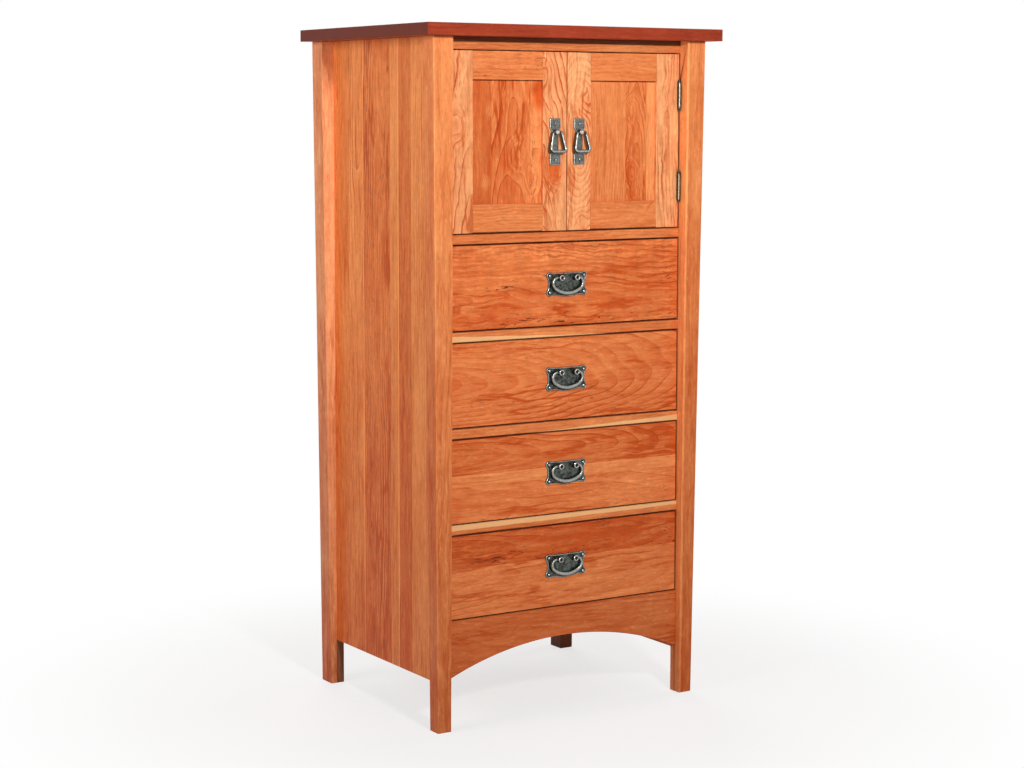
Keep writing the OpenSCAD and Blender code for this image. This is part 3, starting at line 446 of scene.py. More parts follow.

# Each post's seed, hue, tone and painted shade on its side faces
POSTS = {"front_left_post": (0.17, 0.26, 1.05, 0.16), "front_right_post": (0.53, 0.34, 1.05, 0.0),
         "rear_left_post": (0.81, 0.04, 1.08, 0.34), "rear_right_post": (0.37, 0.3, 0.97, 0.2)}
# Painted shade on the rear feet: each one's side and the place from which it is dark inwards
DIM_FEET = {"rear_left_post": (-1, 0.299), "rear_right_post": (1, 0.4)}
PALE_EDGE_END = 282.5 * MM   # the front right post's inner face is painted lighter up to here, a painted highlight
for post, (seed, hue, tone, flank) in POSTS.items():
    side = -1 if "left" in post else 1
    board = plank(-1, seed, hue, tone, (side * 0.42, -0.05), slope=0.03, lines=0.35, curl=0.10, fleck=0.2)
    boards = [board]
    if post == "front_right_post":
        boards = [dict(board, hue=-0.1, tone=1.2), dict(board, start=PALE_EDGE_END)]
    colours = dict(POST_CHERRY, Light=srgb(246, 176, 124)) if post == "rear_left_post" else POST_CHERRY
    wooden([post], post + "_wood", "Z", "X", boards, palette=colours, width=1.6 * MM, worn=1.06, sink=SINK,
           fall=0.24, flank=flank, dim_foot=DIM_FEET.get(post), gap=0.0 if "rear" in post else 0.42)

# The two narrow boards are the pale glue lines of the photograph
SIDE_BOARDS = [
    plank(-0.21, 0.11, 0.1, 1.05, (-0.5, -0.2), slope=0.02, lines=0.35),
    plank(-0.107, 0.44, 0.52, 1.01, (-0.35, -0.1), slope=0.03),
    plank(-0.0575, 0.44, -0.3, 1.2, (0.5, -0.1), lines=0.0),
    plank(-0.0532, 0.35, 0.17, 1.04, (-0.35, -0.1), slope=0.02, lines=0.3),
    plank(-0.022, 0.77, 0.37, 1.03, (0.028, -0.27), slope=0.05, lines=0.8, fleck=0.7),
    plank(0.0902, 0.2, -0.3, 1.22, (0.5, -0.1), lines=0.0),
    plank(0.0945, 0.58, 0.18, 1.05, (0.11, -0.24), slope=0.03, lines=0.6),
    plank(0.155, 0.92, 0.34, 1.04, (0.6, -0.2), slope=0.02, lines=0.4),
]
RIGHT_BOARDS = [dict(board, seed=board["seed"] / 2 + 0.3, pith=(board["pith"][0], -board["pith"][1]))
                for board in SIDE_BOARDS]
for side, boards in (("left", SIDE_BOARDS), ("right", RIGHT_BOARDS)):
    wooden([f"{side}_side_panel"], f"{side}_side_wood", "Z", "Y", boards, palette=SIDE_CHERRY, width=0.5 * MM,
           sink=SINK)

# Rails and apron. The top rail is painted darker, and darkest in its upper strip, a painted shadow of the top
# board.
wooden(["top_rail"], "top_rail_wood", "X", "Z", [
    plank(1.35, 0.63, 0.36, 0.82, (0.9, -0.2), lines=0.3),
    plank(1.3655, 0.63, 0.3, 0.24, (0.9, -0.2), lines=0.3),
], worn=0.5, sink=SINK)

# Sapwood of the rails between the drawers: number of the rail from below, start, lean and side of the line
RAIL_SAPWOOD = []
for rail, start, lean, way in ((2, 0.7805, -0.030, -1), (1, 0.5875, 0.030, -1), (0, 0.4030, 0.004, 1)):
    low = LOWEST_OPENING + OPENING_H + rail * (OPENING_H + RAIL_H)
    RAIL_SAPWOOD.append((low, low + RAIL_H, start, lean, way))
# The front rails' eased edges are painted dark, a painted shade in the gaps round the drawers
wooden(["front_rails"], "front_rails_wood", "X", "Z", [
    plank(0.38, 0.34, 0.3, 0.98, (0.2, -0.2), lines=0.3),
    plank(0.58, 0.83, 0.25, 0.98, (0.4, -0.2), lines=0.3),
    plank(0.77, 0.05, 0.35, 0.98, (0.5, -0.2), lines=0.3),
    plank(0.96, 0.69, 0.42, 0.96, (0.7, -0.2), lines=0.3),
], sink=SINK * 0.6, width=1.0 * MM, worn=0.14, sapwood=RAIL_SAPWOOD)
wooden(["apron"], "apron_wood", "X", "Z",
       [plank(0, 0.26, 0.32, 0.92, (0.14, -0.3), slope=0.06, lines=0.45, curl=0.0)], worn=0.6, sink=SINK)

# Drawer fronts: one to three boards each, from the lower edge up
FRONTS = {
    1: [plank(0.79, 0.22, 0.44, 1.02, (0.84, -0.275), slope=0.05, lines=0.75, curl=0.2, fleck=0.95),
        plank(0.93, 0.22, 0.4, 1.04, (0.84, -0.275), slope=0.05, lines=0.6, curl=0.42, fleck=0.95)],
    2: [plank(0.6, 0.66, 0.32, 1.05, (0.7, -0.29), slope=0.16, lines=0.85, fleck=0.4)],
    3: [plank(0.41, 0.39, 0.26, 1.06, (0.44, -0.35), slope=0.04, lines=0.75),
        plank(0.487, 0.91, 0.1, 1.06, (0.9, -0.2), slope=0.01, lines=0.22, fleck=0.0),
        plank(0.511, 0.15, 0.42, 1.02, (0.545, -0.26), slope=0.13, lines=0.9, fleck=0.35)],
    4: [plank(0.22, 0.73, 0.16, 1.04, (0.3, -0.33), slope=0.09, lines=0.65, fleck=0.2),
        plank(0.322, 0.49, 0.5, 0.97, (0.36, -0.25), slope=0.05, lines=0.85, curl=0.16, fleck=1.0)],
}
INSIDE = plank(-1, 0.4, 0.4, 1.0, (0.0, -0.3), lines=0.3, fleck=0.0)
# The drawer fronts' eased edges are painted dark, a painted shade in the gaps round them
for n, boards in FRONTS.items():
    wooden([f"drawer_{n}_front"], f"drawer_{n}_wood", "X", "Z", boards, width=1.1 * MM, worn=0.12, sink=SINK,
           step=9.0)
    for part, along, across in (("sides", "Y", "Z"), ("back", "X", "Z"), ("bottom", "X", "Y")):
        wooden([f"drawer_{n}_{part}"], f"drawer_{n}_{part.removesuffix('s')}_wood", along, across,
               [dict(INSIDE, seed=0.17 * n)], palette=PLAIN_WOOD, width=0.0, coat=0.0)

wooden(["back_panel", "rear_rails", "cabinet_floor", "cabinet_shelf"], "carcase_wood", "X", "Z", [INSIDE],
       palette=PLAIN_WOOD, width=0.5 * MM, coat=0.0)
wooden(["drawer_runners", "drawer_stops", "top_cleats"], "runner_wood", "Y", "Z",
       [dict(INSIDE, seed=0.8, hue=0.6)], palette=PLAIN_WOOD, width=0.0, coat=0.0)

# Doors: stiles and panels differ across X, rails across Z
STILES = {
    "left": [plank(-0.28, 0.31, 0.26, 0.96, (-0.225, -0.25), slope=0.05, lines=0.85, curl=0.24, fleck=0.5),
             plank(-0.1, 0.86, 0.22, 0.99, (-0.1, -0.23), slope=0.12, lines=0.9, curl=0.26)],
    "right": [plank(0.0, 0.57, 0.06, 1.02, (0.029, 0.215), slope=0.37, lines=0.9, curl=0.22),
              plank(0.1, 0.97, 0.1, 1.0, (0.18, -0.27), slope=0.03, lines=0.75, curl=0.24, fleck=0.7)],
}
# The lower rails' first board, of tone 0.3, is a painted shade along their lower edge that darkens the gap
# under the doors
LOWER_RAILS = {
    "left": plank(0.9, 0.42, 0.36, 0.3, (1.3, -0.3), slope=0.03, lines=0.2),
    "right": plank(0.9, 0.61, 0.36, 0.3, (1.06, -0.3), lines=0.4, fleck=0.2),
}
UPPER_RAILS = {
    "left": plank(1.2, 0.19, 0.36, 0.96, (1.5, -0.3), slope=0.03, lines=0.25, fleck=0.6),
    "right": plank(1.2, 0.76, 0.46, 0.96, (1.5, -0.3), slope=0.02, lines=0.2, fleck=0.4),
}
DARK_EDGE_TOP = 993.2 * MM   # the lower rails are painted dark up to here, a painted shade
PANEL_TOP = 1293 * MM        # the panels are painted darker in their grooves above this, a painted shadow of the rail
PANELS = {
    "left": [plank(-0.24, 0.33, 0.74, 0.9, (-0.5, -0.3), slope=0.03, lines=0.3, fleck=0.2),
             plank(-0.176, 0.52, 0.46, 0.98, (-0.13, -0.26), slope=0.07, lines=1.0, fleck=0.5),
             plank(-0.084, 0.89, 0.22, 1.02, (-0.06, -0.3), slope=0.1, lines=0.7, curl=0.3, fleck=0.6)],
    "right": [plank(0.03, 0.24, 0.3, 0.96, (0.6, -0.3), slope=0.03, lines=0.25, fleck=0.25),
              plank(0.148, 0.68, 0.4, 0.97, (0.172, -0.12), slope=0.12, lines=1.0, curl=0.14, fleck=0.4),
              plank(0.2, 0.28, 0.02, 1.03, (0.6, -0.3), slope=0.02, lines=0.2)],
}
STILE_KNOTS = {
    "left": [(1.114, -0.033, 0.034, 0.020, 0.8), (1.310, -0.050, 0.030, -0.008, 0.0),
             (1.20, -0.252, 0.03, 0.012, 0.2)],
    "right": [(1.245, 0.040, 0.030, 0.012, 0.3), (1.015, 0.034, 0.020, -0.008, 0.1),
              (1.26, 0.25, 0.03, 0.010, 0.2)],
}
PANEL_KNOTS = {
    "left": [(1.232, -0.179, 0.015, 0.009, -0.5), (1.090, -0.189, 0.014, 0.008, -0.5),
             (1.10, -0.078, 0.028, 0.014, 0.1), (1.145, -0.110, 0.036, 0.014, 0.1),
             (1.268, -0.064, 0.030, 0.0, 0.9)],
    "right": [(1.105, 0.166, 0.024, 0.016, 0.15), (1.062, 0.172, 0.020, 0.014, 0.15),
              (1.235, 0.160, 0.026, -0.016, 0.0)],
}
for side in ("left", "right"):
    lower = LOWER_RAILS[side]
    rails = [lower, dict(lower, start=DARK_EDGE_TOP, tone=0.96), UPPER_RAILS[side]]
    wooden([f"{side}_door_stiles"], f"{side}_stile_wood", "Z", "X", STILES[side], width=0.5 * MM, sink=SINK,
           step=5.5, wander=0.35, palette=STILE_CHERRY, knots=STILE_KNOTS[side])
    wooden([f"{side}_door_rails"], f"{side}_door_rail_wood", "X", "Z", rails, width=0.5 * MM, worn=0.55,
           sink=SINK)
    wooden([f"{side}_door_panel"], f"{side}_panel_wood", "Z", "X", PANELS[side], width=0.0, sink=SINK,
           step=5.5, knots=PANEL_KNOTS[side], lined=PANEL_TOP)


# Metal and plastic
GRIT = 420.0
# Dark of grime and of painted shade
GRIME = srgb(14, 14, 12)


def metal(name, dark, light, bright=None, rough=0.36, hammer=0.35, rubbed=False):
    """Cast or rolled metal with a mottled patina and hammered dents. With bright, it is lighter where the
    mesh's value of polish and painted light is high, as polish from handling and as painted highlight, and
    grimy and in painted shade where that is below zero. With rubbed it carries a painted highlight where it
    looks forward and towards the chest's middle instead."""
    made, g, shader = new_material(name)
    p = g.object_point()
    mottle = g.noise(p, 190.0, detail=5.0, roughness=0.65)
    fine = g.noise(p, GRIT * 2.2, detail=3.0)
    colour = g.mix(g.smooth(mottle, 0.34, 0.68), dark, light)
    roughness = g.sum(rough, g.swing(mottle, 0.3))
    if bright:
        # A painted highlight down the front of the hinge barrels
        if rubbed:
            across, facing, _ = g.split(g.node("ShaderNodeNewGeometry").outputs["Normal"])
            inward = g.times(across, g.math("SIGN", g.split(p)[0]))
            given = g.smooth(g.sum(g.times(facing, -0.89), g.times(inward, -0.46)), 0.89, 0.99)
        else:
            given = g.node("ShaderNodeAttribute", attribute_name=WEAR).outputs["Fac"]
        wear = g.times(g.most(given, 0.0), g.smooth(g.noise(p, 330.0, detail=4.0), 0.20, 0.56))
        colour = g.mix(wear, colour, bright)
        colour = g.mix(g.math("MULTIPLY", given, -1.0, clamp=True), colour, GRIME)
        roughness = g.sum(roughness, g.times(wear, -0.14))
    g.feed(shader.inputs["Base Color"], colour)
    g.feed(shader.inputs["Roughness"], roughness)
    shader.inputs["Metallic"].default_value = 0.9
    height = g.sum(g.noise(p, GRIT), g.times(fine, 0.3))
    bump = g.node("ShaderNodeBump", {"Height": height, "Strength": hammer, "Distance": 0.6 * MM})
    g.feed(shader.inputs["Normal"], bump.outputs[0])
    return made


# Name of the mesh value for polish and painted light
WEAR = "wear"
PEWTER = metal("pewter", srgb(42, 45, 41), srgb(103, 107, 101), bright=srgb(206, 208, 202))
BRONZE = metal("dark_bronze", srgb(34, 27, 22), srgb(84, 72, 60), bright=srgb(206, 196, 170), hammer=0.15)
HINGE = metal("rubbed_bronze", srgb(34, 27, 22), srgb(74, 62, 50), bright=srgb(200, 180, 148), hammer=0.15,
              rubbed=True)
STEEL = metal("zinc_steel", srgb(120, 122, 124), srgb(176, 178, 180), rough=0.34, hammer=0.1)

catch_plastic, g, shader = new_material("catch_plastic")
speckle = g.noise(g.object_point(), 900.0, detail=3.0)
g.feed(shader.inputs["Base Color"], g.mix(speckle, srgb(104, 62, 36), srgb(120, 74, 44)))
g.feed(shader.inputs["Roughness"], g.sum(0.5, g.swing(speckle, 0.2)))

dress(["shelf_pins", "top_screws"], STEEL)
dress(["left_door_catch_plate", "right_door_catch_plate"], STEEL, width=0.2 * MM)
dress(["door_catches"], catch_plastic, width=0.8 * MM)
dress(["case_hinge_leaves", "left_door_hinge_leaves", "right_door_hinge_leaves"], HINGE)


# Mesh tools. Without a seed the noise of the dents would differ each time Blender starts. With this one the
# front faces of both ring plates divide into triangles without folds.
noise.seed_set(5)


class Shape:
    """A mesh in the making, with a value of -1 to 1 at each point for polish and painted light: high is
    polish from handling and painted highlight, below zero is grime and painted shade. Profiles, paths and
    outlines are in millimetres, and places in metres."""

    def __init__(self):
        self.mesh = bmesh.new()
        self.wear = self.mesh.verts.layers.float.new(WEAR)

    def point(self, place, wear=0.0):
        vert = self.mesh.verts.new(place)
        vert[self.wear] = wear
        return vert

    def bridge(self, a, b):
        count = len(a)
        for i in range(count):
            self.mesh.faces.new((a[i], a[(i + 1) % count], b[(i + 1) % count], b[i]))

    def close(self, rings):
        """Skins a row of rings and closes both its ends."""
        for a, b in zip(rings, rings[1:]):
            self.bridge(a, b)
        self.mesh.faces.new(rings[0])
        self.mesh.faces.new(rings[-1])

    def turned(self, base, axis, profile, sides=32):
        """Round solid about an axis through base. The profile's points are (distance along the axis, radius),
        with the value of polish and painted light as a third number where there is any."""
        axis = Vector(axis).normalized()
        first = axis.orthogonal().normalized()
        second = axis.cross(first)
        turns = [2 * math.pi * k / sides for k in range(sides)]
        rings = []
        for reach, radius, *rest in profile:
            wear = rest[0] if rest else 0.0
            centre = Vector(base) + axis * (reach * MM)
            if radius == 0:
                rings.append([self.point(centre, wear)])
            else:
                spokes = [(first * math.cos(t) + second * math.sin(t)) * (radius * MM) for t in turns]
                rings.append([self.point(centre + spoke, wear) for spoke in spokes])
        for a, b in zip(rings, rings[1:]):
            if len(a) > 1 and len(b) > 1:
                self.bridge(a, b)
            else:
                tip, rim = (a[0], b) if len(a) == 1 else (b[0], a)
                for i in range(sides):
                    self.mesh.faces.new((tip, rim[i], rim[(i + 1) % sides]))
        for ring in (rings[0], rings[-1]):
            if len(ring) > 1:
                self.mesh.faces.new(ring)

    def swept(self, path, radii, wear, sides=24, flat=1.0, crest=0.5):
        """Rod along a path in X and Z, with its radius and its value of polish and painted light at each
        point. That value lies on the rod's front, and its sides and back are painted dark as shade. flat
        makes it thinner along Y, and a higher crest narrows the bright line on its front, of polish and
        painted highlight."""
        rings = []
        for i, (x, z) in enumerate(path):
            before, after = path[max(i - 1, 0)], path[min(i + 1, len(path) - 1)]
            way = Vector((after[0] - before[0], 0, after[1] - before[1])).normalized()
            out = Vector((-way.z, 0, way.x))
            radius = radii[i] * MM
            ring = []
            for k in range(sides):
                turn = 2 * math.pi * k / sides
                reach = out * math.cos(turn) * radius + Vector((0, math.sin(turn) * radius * flat, 0))
                front = max(0.0, -math.sin(turn)) ** crest
                place = Vector((x * MM, 0, z * MM)) + reach
                # The front carries the given value, and the sides and back are painted dark as shade
                ring.append(self.point(place, wear[i] * front - 0.8 * (1 - front)))
            rings.append(ring)
        self.close(rings)

    def plate(self, outline, centre_x, centre_z, steps):
        """Plate on the face of the drawers and doors. Each step is (inset, distance in front of that face,
        value of polish and painted light), from its back round to its front."""
        rings = []
        for inset, forward, wear in steps:
            edge = drawn_in(outline, inset)
            rings.append([self.point((x * MM + centre_x, FACE - forward * MM, z * MM + centre_z), wear)
                          for x, z in edge])
        self.close(rings)

    def move(self, matrix):
        for vert in self.mesh.verts:
            vert.co = matrix @ vert.co

    def dent(self, amount, grain):
        """Small dents of a hand-made surface, so many of them per metre."""
        for vert in self.mesh.verts:
            vert.co += Vector(noise.noise_vector(vert.co * grain)) * amount

    def finish(self, name, material, body, replaced, smooth_angle=35):
        bmesh.ops.recalc_face_normals(self.mesh, faces=self.mesh.faces)
        data = bpy.data.meshes.new(name)
        self.mesh.to_mesh(data)
        self.mesh.free()
        data.materials.append(material)
        data.shade_smooth()
        data.set_sharp_from_angle(angle=math.radians(smooth_angle))
        piece = bpy.data.objects.new(name, data)
        bpy.context.scene.collection.objects.link(piece)
        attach(piece, body)
        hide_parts(replaced)


def drawn_in(outline, distance):
    """The closed outline, moved inwards. It runs clockwise, seen with X to the right and Z up."""
    count = len(outline)
    moved = []
    for i, (x, z) in enumerate(outline):
        (ax, az), (bx, bz) = outline[i - 1], outline[(i + 1) % count]
        dx, dz = bx - ax, bz - az
        size = math.hypot(dx, dz)
        moved.append((x + dz / size * distance, z - dx / size * distance))
    return moved


def smoothed(points, passes):
    """The closed outline with its corners softened."""
    for _ in range(passes):
        around = zip(points[-1:] + points[:-1], points, points[1:] + points[:1])
        points = [((ax + 2 * bx + cx) / 4, (az + 2 * bz + cz) / 4) for (ax, az), (bx, bz), (cx, cz) in around]
    return points


def evenly(path, step):
    """The open path with a point about every step."""
    points = []
    for (ax, az), (bx, bz) in zip(path, path[1:]):
        count = max(1, round(math.hypot(bx - ax, bz - az) / step))
        points += [(ax + (bx - ax) * k / count, az + (bz - az) * k / count) for k in range(count)]
    return points + [path[-1]]


def closed_outline(half, step, passes):
    """A half outline from top to bottom on the right, closed by its mirror image, with even points and soft
    corners."""
    corners = half + [(-x, z) for x, z in reversed(half) if x > 0.001]
    return smoothed(evenly(corners + corners[:1], step)[:-1], passes)


def arc(centre, radius, start, end, step=6):
    """Points on an arc from start to end, in degrees from +X towards +Z."""
    count = max(2, round(abs(end - start) / step))
    turns = [math.radians(start + (end - start) * k / count) for k in range(count + 1)]
    return [(centre[0] + radius * math.cos(t), centre[1] + radius * math.sin(t)) for t in turns]


# Bail pulls, in millimetres from the middle of their plate or from the bail's pins
OUT, BACK = (0, -1, 0), (0, 1, 0)
EAR_X, EAR_Z, EAR_R = 41.5, 17.0, 7.5
BAIL_HALF = ([(0, 22.5), (34.5, 22.5)] + arc((EAR_X, EAR_Z), EAR_R, 125, -62, 8)
             + [(44.4, 5), (44.2, 0), (44.4, -5)] + arc((EAR_X, -EAR_Z), EAR_R, 62, -125, 8)
             + [(34.5, -22.6), (26, -22.9), (17, -24.2), (8, -25.7), (0, -26)])
BAIL_OUTLINE = closed_outline(BAIL_HALF, 1.1, 4)
# In steps and profiles, values below zero are grime and painted shade at edges and in crevices, and high ones
# are polish and painted highlight
BAIL_STEPS = [(-0.4, 0, -1), (-0.4, 0.9, -1), (0.1, 1.4, -0.2), (0.7, 2.2, 0.7), (1.3, 2.4, 0.5),
              (1.9, 2.2, 0.0), (2.4, 1.7, -0.4), (3.1, 1.6, -0.05)]
POST_PROFILE = [(1.9, 6.3, -1), (2.6, 6.5, -0.6), (3.2, 5.8, -0.8), (4.2, 5.1, -0.6), (9.6, 5.0, -0.4),
                (10.6, 5.5, 0.0), (11.6, 5.9, 0.3), (13.2, 6.0, 0.6), (14.1, 5.6, 0.9), (14.5, 4.9, 0.9),
                (14.3, 4.0, 0.3), (13.6, 3.3, -0.5), (13.3, 1.6, -0.9), (13.3, 0, -0.9)]
NAIL_PROFILE = [(1.9, 3.2, -1), (2.4, 3.15, -0.8), (3.2, 2.6, 0.1), (3.8, 1.7, 0.7), (4.1, 0.8, 1),
                (4.15, 0, 1)]
NUT_PROFILE = [(0, 4.6), (0.4, 5.0), (3.6, 5.0), (4, 4.6), (4, 2.0)]
THREAD_PROFILE = [(4 + 0.35 * k, 1.75 if k % 2 else 2.0) for k in range(6)] + [(6, 1.4)]
PIVOT_X, PIVOT_Z, PIVOT_OUT = 18.5, 13.0, 6.5


def bail_plate(n, height):
    """Backplate with raised rim and ears, four nails, two posts, and the tails and nuts inside the drawer."""
    shape = Shape()
    shape.plate(BAIL_OUTLINE, 0, height, BAIL_STEPS)
    for side in (-1, 1):
        for end in (-1, 1):
            shape.turned((side * EAR_X * MM, FACE, height + end * EAR_Z * MM), OUT, NAIL_PROFILE, 20)
        x, z = side * PIVOT_X * MM, height + PIVOT_Z * MM
        shape.turned((x, FACE, z), OUT, POST_PROFILE)
        shape.turned((x, FRONT_BACK, z), BACK, NUT_PROFILE, 6)
        shape.turned((x, FRONT_BACK, z), BACK, THREAD_PROFILE, 16)
    shape.dent(0.10 * MM, 900)
    shape.finish(f"bail_pull_{n}_plate", PEWTER, f"drawer_{n}", f"drawer_{n}_pull_plate")


# The bail's shoulder, lower corner and foot are arcs that run into each other
BAIL_DROP = 31.4
SHOULDER_X, SHOULDER_R = 25.3, 10.7
CORNER_X, CORNER_R = 22.0, 14.0
CORNER_DROP = BAIL_DROP - SHOULDER_R
FOOT_R = (CORNER_X ** 2 + CORNER_DROP ** 2 - CORNER_R ** 2) / (2 * (CORNER_DROP - CORNER_R))
FOOT_TURN = math.degrees(math.asin(CORNER_X / (FOOT_R - CORNER_R)))
BAIL_HALF_PATH = ([(17.0, 0.0), (20.0, 0.0), (24.4, 0.0)] + arc((SHOULDER_X, -SHOULDER_R), SHOULDER_R, 90, 0)
                  + arc((CORNER_X, -SHOULDER_R), CORNER_R, 0, FOOT_TURN - 90)[1:]
                  + arc((0, FOOT_R - BAIL_DROP), FOOT_R, FOOT_TURN - 90, -90, 3)[1:])
BAIL_PATH = BAIL_HALF_PATH + [(-x, z) for x, z in reversed(BAIL_HALF_PATH[:-1])]
BAIL_PIN_R, BAIL_PIN_END = 2.4, 24.3


def bail_rod(n, height):
    """Swinging handle: thin where it enters the posts and thickest in the middle of its foot."""
    shape = Shape()
    radii, wear = [], []
    for x, z in BAIL_PATH:
        pin = abs(x) < BAIL_PIN_END and z > -5
        low = min(1.0, max(0.0, -z / BAIL_DROP))
        radii.append(BAIL_PIN_R if pin else 2.55 + 1.55 * low ** 1.4)
        wear.append(-0.5 if pin else 0.55)
    shape.swept(BAIL_PATH, radii, wear, flat=0.86)
    shape.move(Matrix.Translation((0, FACE - PIVOT_OUT * MM, height + PIVOT_Z * MM)))
    shape.dent(0.12 * MM, 420)
    shape.finish(f"bail_pull_{n}_handle", PEWTER, f"bail_{n}", f"drawer_{n}_bail", 60)


for n in FRONTS:
    pull_z = LOWEST_OPENING + (len(FRONTS) - n) * (OPENING_H + RAIL_H) + OPENING_H / 2
    bail_plate(n, pull_z)
    bail_rod(n, pull_z)


# Ring pulls on the doors
RING_X = 29.2 * MM
RING_HALF = [(0, 46), (11.6, 46), (12.4, 45.2), (12.4, 27.5), (11.9, 25.6), (10.2, 24.4), (8.6, 22.6),
             (7.7, 19.5), (7.5, 15), (7.5, -13), (7.8, -18), (8.8, -21.5), (10.6, -23.6), (12.0, -24.8),
             (12.4, -26.5), (12.5, -45.0), (11.7, -46), (0, -46)]
RING_OUTLINE = closed_outline(RING_HALF, 0.9, 2)
# The first steps are a thin black flange round the plate, a painted shadow
RING_STEPS = [(-0.9, 0, -1), (-0.9, 0.3, -1), (-0.5, 0.5, -1), (-0.4, 1.0, 0.2), (-0.2, 1.6, 0.9),
              (0.4, 2.2, 0.9), (1.0, 2.4, 0.35), (1.7, 2.3, 0.0), (2.6, 2.2, 0.16)]
BALL_R, BALL_OUT, BALL_Z = 5.6, 9.0, 19.0
# The back of the ball and its neck are painted black, a painted shade under the ball
BALL_WEAR = [-1, -0.8, -0.5, 0.0, 0.4] + [0.8] * 6
BALL_TURNS = [math.radians(turn) for turn in range(55, 180, 12)]
BALL_PROFILE = ([(1.9, 5.4, -1), (2.5, 5.6, -1), (3.0, 4.6, -1), (4.6, 3.6, -1), (5.4, 3.9, -1)]
                + [(BALL_OUT - BALL_R * math.cos(turn), BALL_R * math.sin(turn), wear)
                   for turn, wear in zip(BALL_TURNS, BALL_WEAR)]
                + [(BALL_OUT + BALL_R, 0, 0.8)])
SCREW_PROFILE = [(1.9, 3.1, -1), (2.3, 3.1, -1), (3.0, 2.6, -0.7), (3.5, 1.6, 0.9), (3.6, 0.9, 1),
                 (3.2, 0.7, -0.2), (3.2, 0, -0.2)]
SCREW_Z = 36.0


def rounded_path(corners, step=1.0):
    """Open path through corners of (x, z, bend radius)."""
    path = [corners[0][:2]]
    for before, corner, after in zip(corners, corners[1:], corners[2:]):
        middle = Vector(corner[:2])
        into, out = (Vector(before[:2]) - middle).normalized(), (Vector(after[:2]) - middle).normalized()
        half = math.acos(max(-1, min(1, into.dot(out)))) / 2
        cut = corner[2] / math.tan(half)
        centre = middle + (into + out).normalized() * (corner[2] / math.sin(half))
        a, b = middle + into * cut - centre, middle + out * cut - centre
        turn = math.pi - 2 * half
        count = max(4, round(turn * corner[2] / step))
        for k in range(count + 1):
            share = k / count
            spoke = a * math.sin((1 - share) * turn) + b * math.sin(share * turn)
            path.append(tuple(centre + spoke / math.sin(turn)))
    return path + [corners[-1][:2]]


RING_DROP, RING_TOP_X, RING_FOOT_X = 39.0, 9.8, 18.5
RING_CORNERS = [(3, 0, 0), (RING_TOP_X, 0, 3.5), (RING_FOOT_X, -RING_DROP, 6), (-RING_FOOT_X, -RING_DROP, 6),
                (-RING_TOP_X, 0, 3.5), (-3, 0, 0)]
RING_PATH = evenly(rounded_path(RING_CORNERS), 2.0)
RING_PIN_R, RING_PIN_END = 2.0, 6.5
RING_TILT = math.radians(-7)


def ring_pull(side, x):
    """Backplate, two screws and the ball on the door, and the ring that hangs from the ball."""
    shape = Shape()
    shape.plate(RING_OUTLINE, x, DOOR_MID, RING_STEPS)
    for end in (-1, 1):
        shape.turned((x, FACE, DOOR_MID + end * SCREW_Z * MM), OUT, SCREW_PROFILE, 20)
    shape.turned((x, FACE, DOOR_MID + BALL_Z * MM), OUT, BALL_PROFILE)
    shape.dent(0.07 * MM, 900)
    shape.finish(f"{side}_door_pull_plate", PEWTER, f"{side}_door", f"{side}_pull_plate")

    ring = Shape()
    radii = [RING_PIN_R if abs(u) < RING_PIN_END and v > -3 else 3.0 + 0.5 * min(1, -v / RING_DROP)
             for u, v in RING_PATH]
    wear = [0.65 * min(1.0, max(0.0, -v / 5)) for _, v in RING_PATH]
    ring.swept(RING_PATH, radii, wear, sides=20, crest=1.6)
    place = Matrix.Translation((x, FACE - BALL_OUT * MM, DOOR_MID + BALL_Z * MM))
    ring.move(place @ Matrix.Rotation(RING_TILT, 4, "X"))
    ring.dent(0.08 * MM, 420)
    ring.finish(f"{side}_door_ring", PEWTER, f"{side}_ring", f"{side}_pull_ring", 60)


for side, sign in (("left", -1), ("right", 1)):
    ring_pull(side, sign * RING_X)


# Hinge pins with bullet tips, from the middle of the barrel outwards
TIP_PROFILE = [(0, 2.0), (25.0, 2.0, -0.6), (25.1, 3.7, -0.4), (25.6, 4.0, 0.3), (26.6, 4.0, 0.3),
               (27.1, 3.5, -0.6), (28.4, 3.6, -0.2), (30.0, 3.2, 0.2), (31.6, 2.5, 0.2), (33.0, 1.6, 0.2),
               (33.8, 0.8, 0.3), (34.0, 0, 0.3)]
PIN_X, PIN_Y = 276.5 * MM, -221.8 * MM
PIN_HEIGHTS = (1076.5 * MM, 1264.5 * MM)
pins = Shape()
for sign in (-1, 1):
    for height in PIN_HEIGHTS:
        for way in (-1, 1):
            pins.turned((sign * PIN_X, PIN_Y, height), (0, 0, way), TIP_PROFILE, 24)
pins.finish("hinge_pin_tips", BRONZE, "case", "hinge_pins")


# Lamps
WARM_WHITE = (1.0, 0.985, 0.96)


def lamp(name, place, target, power, size, colour=(1, 1, 1), spread=180):
    data = bpy.data.lights.new(name, "AREA")
    data.energy = power
    data.size = size
    data.color = colour
    data.spread = math.radians(spread)
    made = bpy.data.objects.new(name, data)
    made.location = place
    made.rotation_euler = (Vector(target) - Vector(place)).to_track_quat("-Z", "Y").to_euler()
    made.visible_camera = False
    bpy.context.scene.collection.objects.link(made)


lamp("key_light", (-0.6, -2.85, 1.89), (0.0, -0.25, 1.2), 28.5, 0.26, WARM_WHITE, 125)
lamp("left_light", (-2.7, -0.3, 1.65), (-0.3, 0.0, 1.15), 18.5, 1.2, WARM_WHITE, 140)
lamp("right_light", (2.7, 0.4, 1.6), (0.0, 0.0, 0.9), 16, 1.2)
lamp("back_light", (0.9, 2.9, 2.0), (0.0, 0.0, 0.8), 44, 1.8)


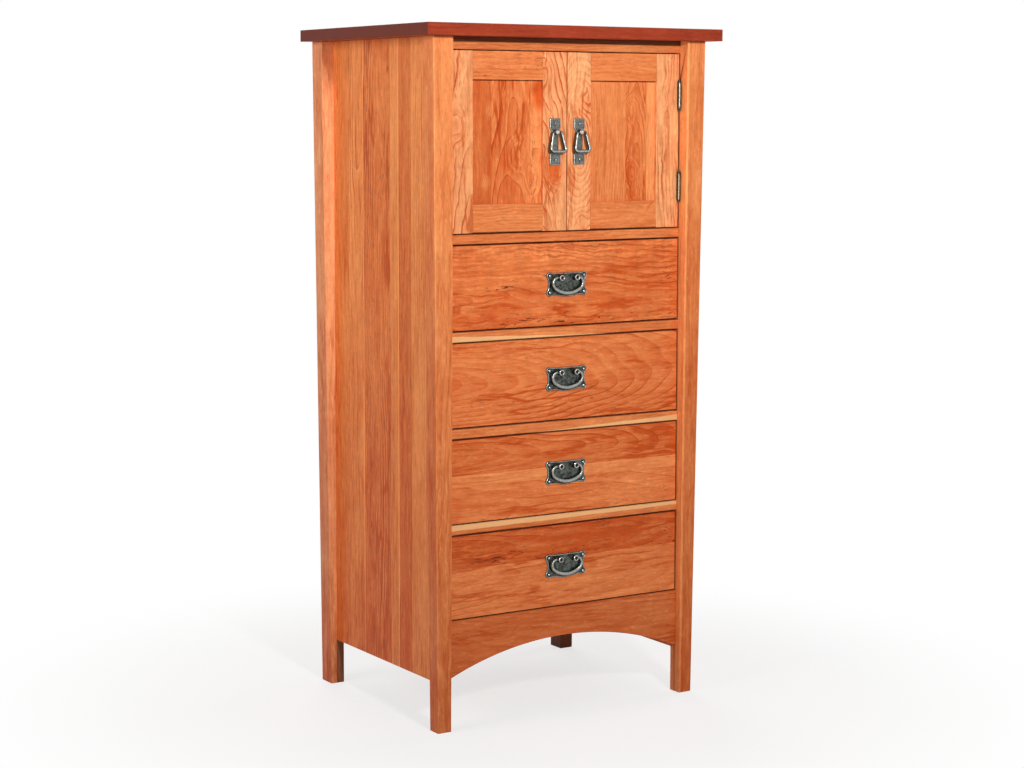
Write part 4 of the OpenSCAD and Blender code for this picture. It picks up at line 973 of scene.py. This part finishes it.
def background_rays(g):
    """1 for rays that should see the white background: of the camera, of gloss and of glass."""
    rays = g.node("ShaderNodeLightPath").outputs
    return g.most(g.most(rays["Is Camera Ray"], rays["Is Glossy Ray"]), rays["Is Transmission Ray"])


# World and floor
world = bpy.data.worlds.new("studio")
bpy.context.scene.world = world
world.use_nodes = True
g = Graph(world.node_tree)
background = world.node_tree.nodes["Background"]
background.inputs["Color"].default_value = (1, 1, 1, 1)
g.feed(background.inputs["Strength"], g.sum(g.times(background_rays(g), 0.78), 0.22))

FLOOR = 9.0
corners = [(-FLOOR, -FLOOR, 0), (FLOOR, -FLOOR, 0), (FLOOR, FLOOR, 0), (-FLOOR, FLOOR, 0)]
floor_mesh = bpy.data.meshes.new("floor")
floor_mesh.from_pydata(corners, [], [(0, 1, 2, 3)])
floor = bpy.data.objects.new("floor", floor_mesh)
bpy.context.scene.collection.objects.link(floor)

# The floor turns to plain white further from the chest
pale, g, shader = new_material("pale_floor")
shader.inputs["Base Color"].default_value = (0.86, 0.86, 0.86, 1)
shader.inputs["Roughness"].default_value = 0.9
shader.inputs["Specular IOR Level"].default_value = 0.1
white = background_rays(g)
glow = g.node("ShaderNodeEmission", {"Color": (1, 1, 1, 1), "Strength": 1.0})
x, y, _ = g.split(g.object_point())
away = g.smooth(g.length(x, y), 0.45, 1.25)
share = g.times(white, g.sum(0.7, g.times(away, 0.3)))
blend = g.node("ShaderNodeMixShader", {0: share, 1: shader.outputs[0], 2: glow.outputs[0]})
g.feed(pale.node_tree.nodes["Material Output"].inputs["Surface"], blend.outputs[0])
floor_mesh.materials.append(pale)

# Camera: fitted to the chest's corners in the photograph, with a small shift
IMAGE_WIDTH, IMAGE_HEIGHT = 1024, 768
FOCAL_PIXELS = 2193.9
CENTRE_ROW = 333             # row of the photograph that the camera's axis meets
SENSOR = 36
CAMERA_PLACE = (-2.454996, -3.910977, 1.228941)
YAW, PITCH, ROLL = (math.radians(a) for a in (-32.1897, -5.7436, 0.0942))
ahead = Vector((-math.sin(YAW) * math.cos(PITCH), math.cos(YAW) * math.cos(PITCH), math.sin(PITCH)))
level = ahead.cross(Vector((0, 0, 1))).normalized()
upright = level.cross(ahead)
right = level * math.cos(ROLL) + upright * math.sin(ROLL)
up = upright * math.cos(ROLL) - level * math.sin(ROLL)
lens = bpy.data.cameras.new("camera")
lens.lens = FOCAL_PIXELS / IMAGE_WIDTH * SENSOR
lens.sensor_width = SENSOR
lens.shift_y = (CENTRE_ROW - IMAGE_HEIGHT / 2) / IMAGE_WIDTH
camera = bpy.data.objects.new("camera", lens)
turn = Matrix((right, up, -ahead)).transposed().to_4x4()
camera.matrix_world = Matrix.Translation(CAMERA_PLACE) @ turn
bpy.context.scene.collection.objects.link(camera)
bpy.context.scene.camera = camera
bpy.context.scene.view_settings.view_transform = "Standard"

bpy.context.view_layer.update()
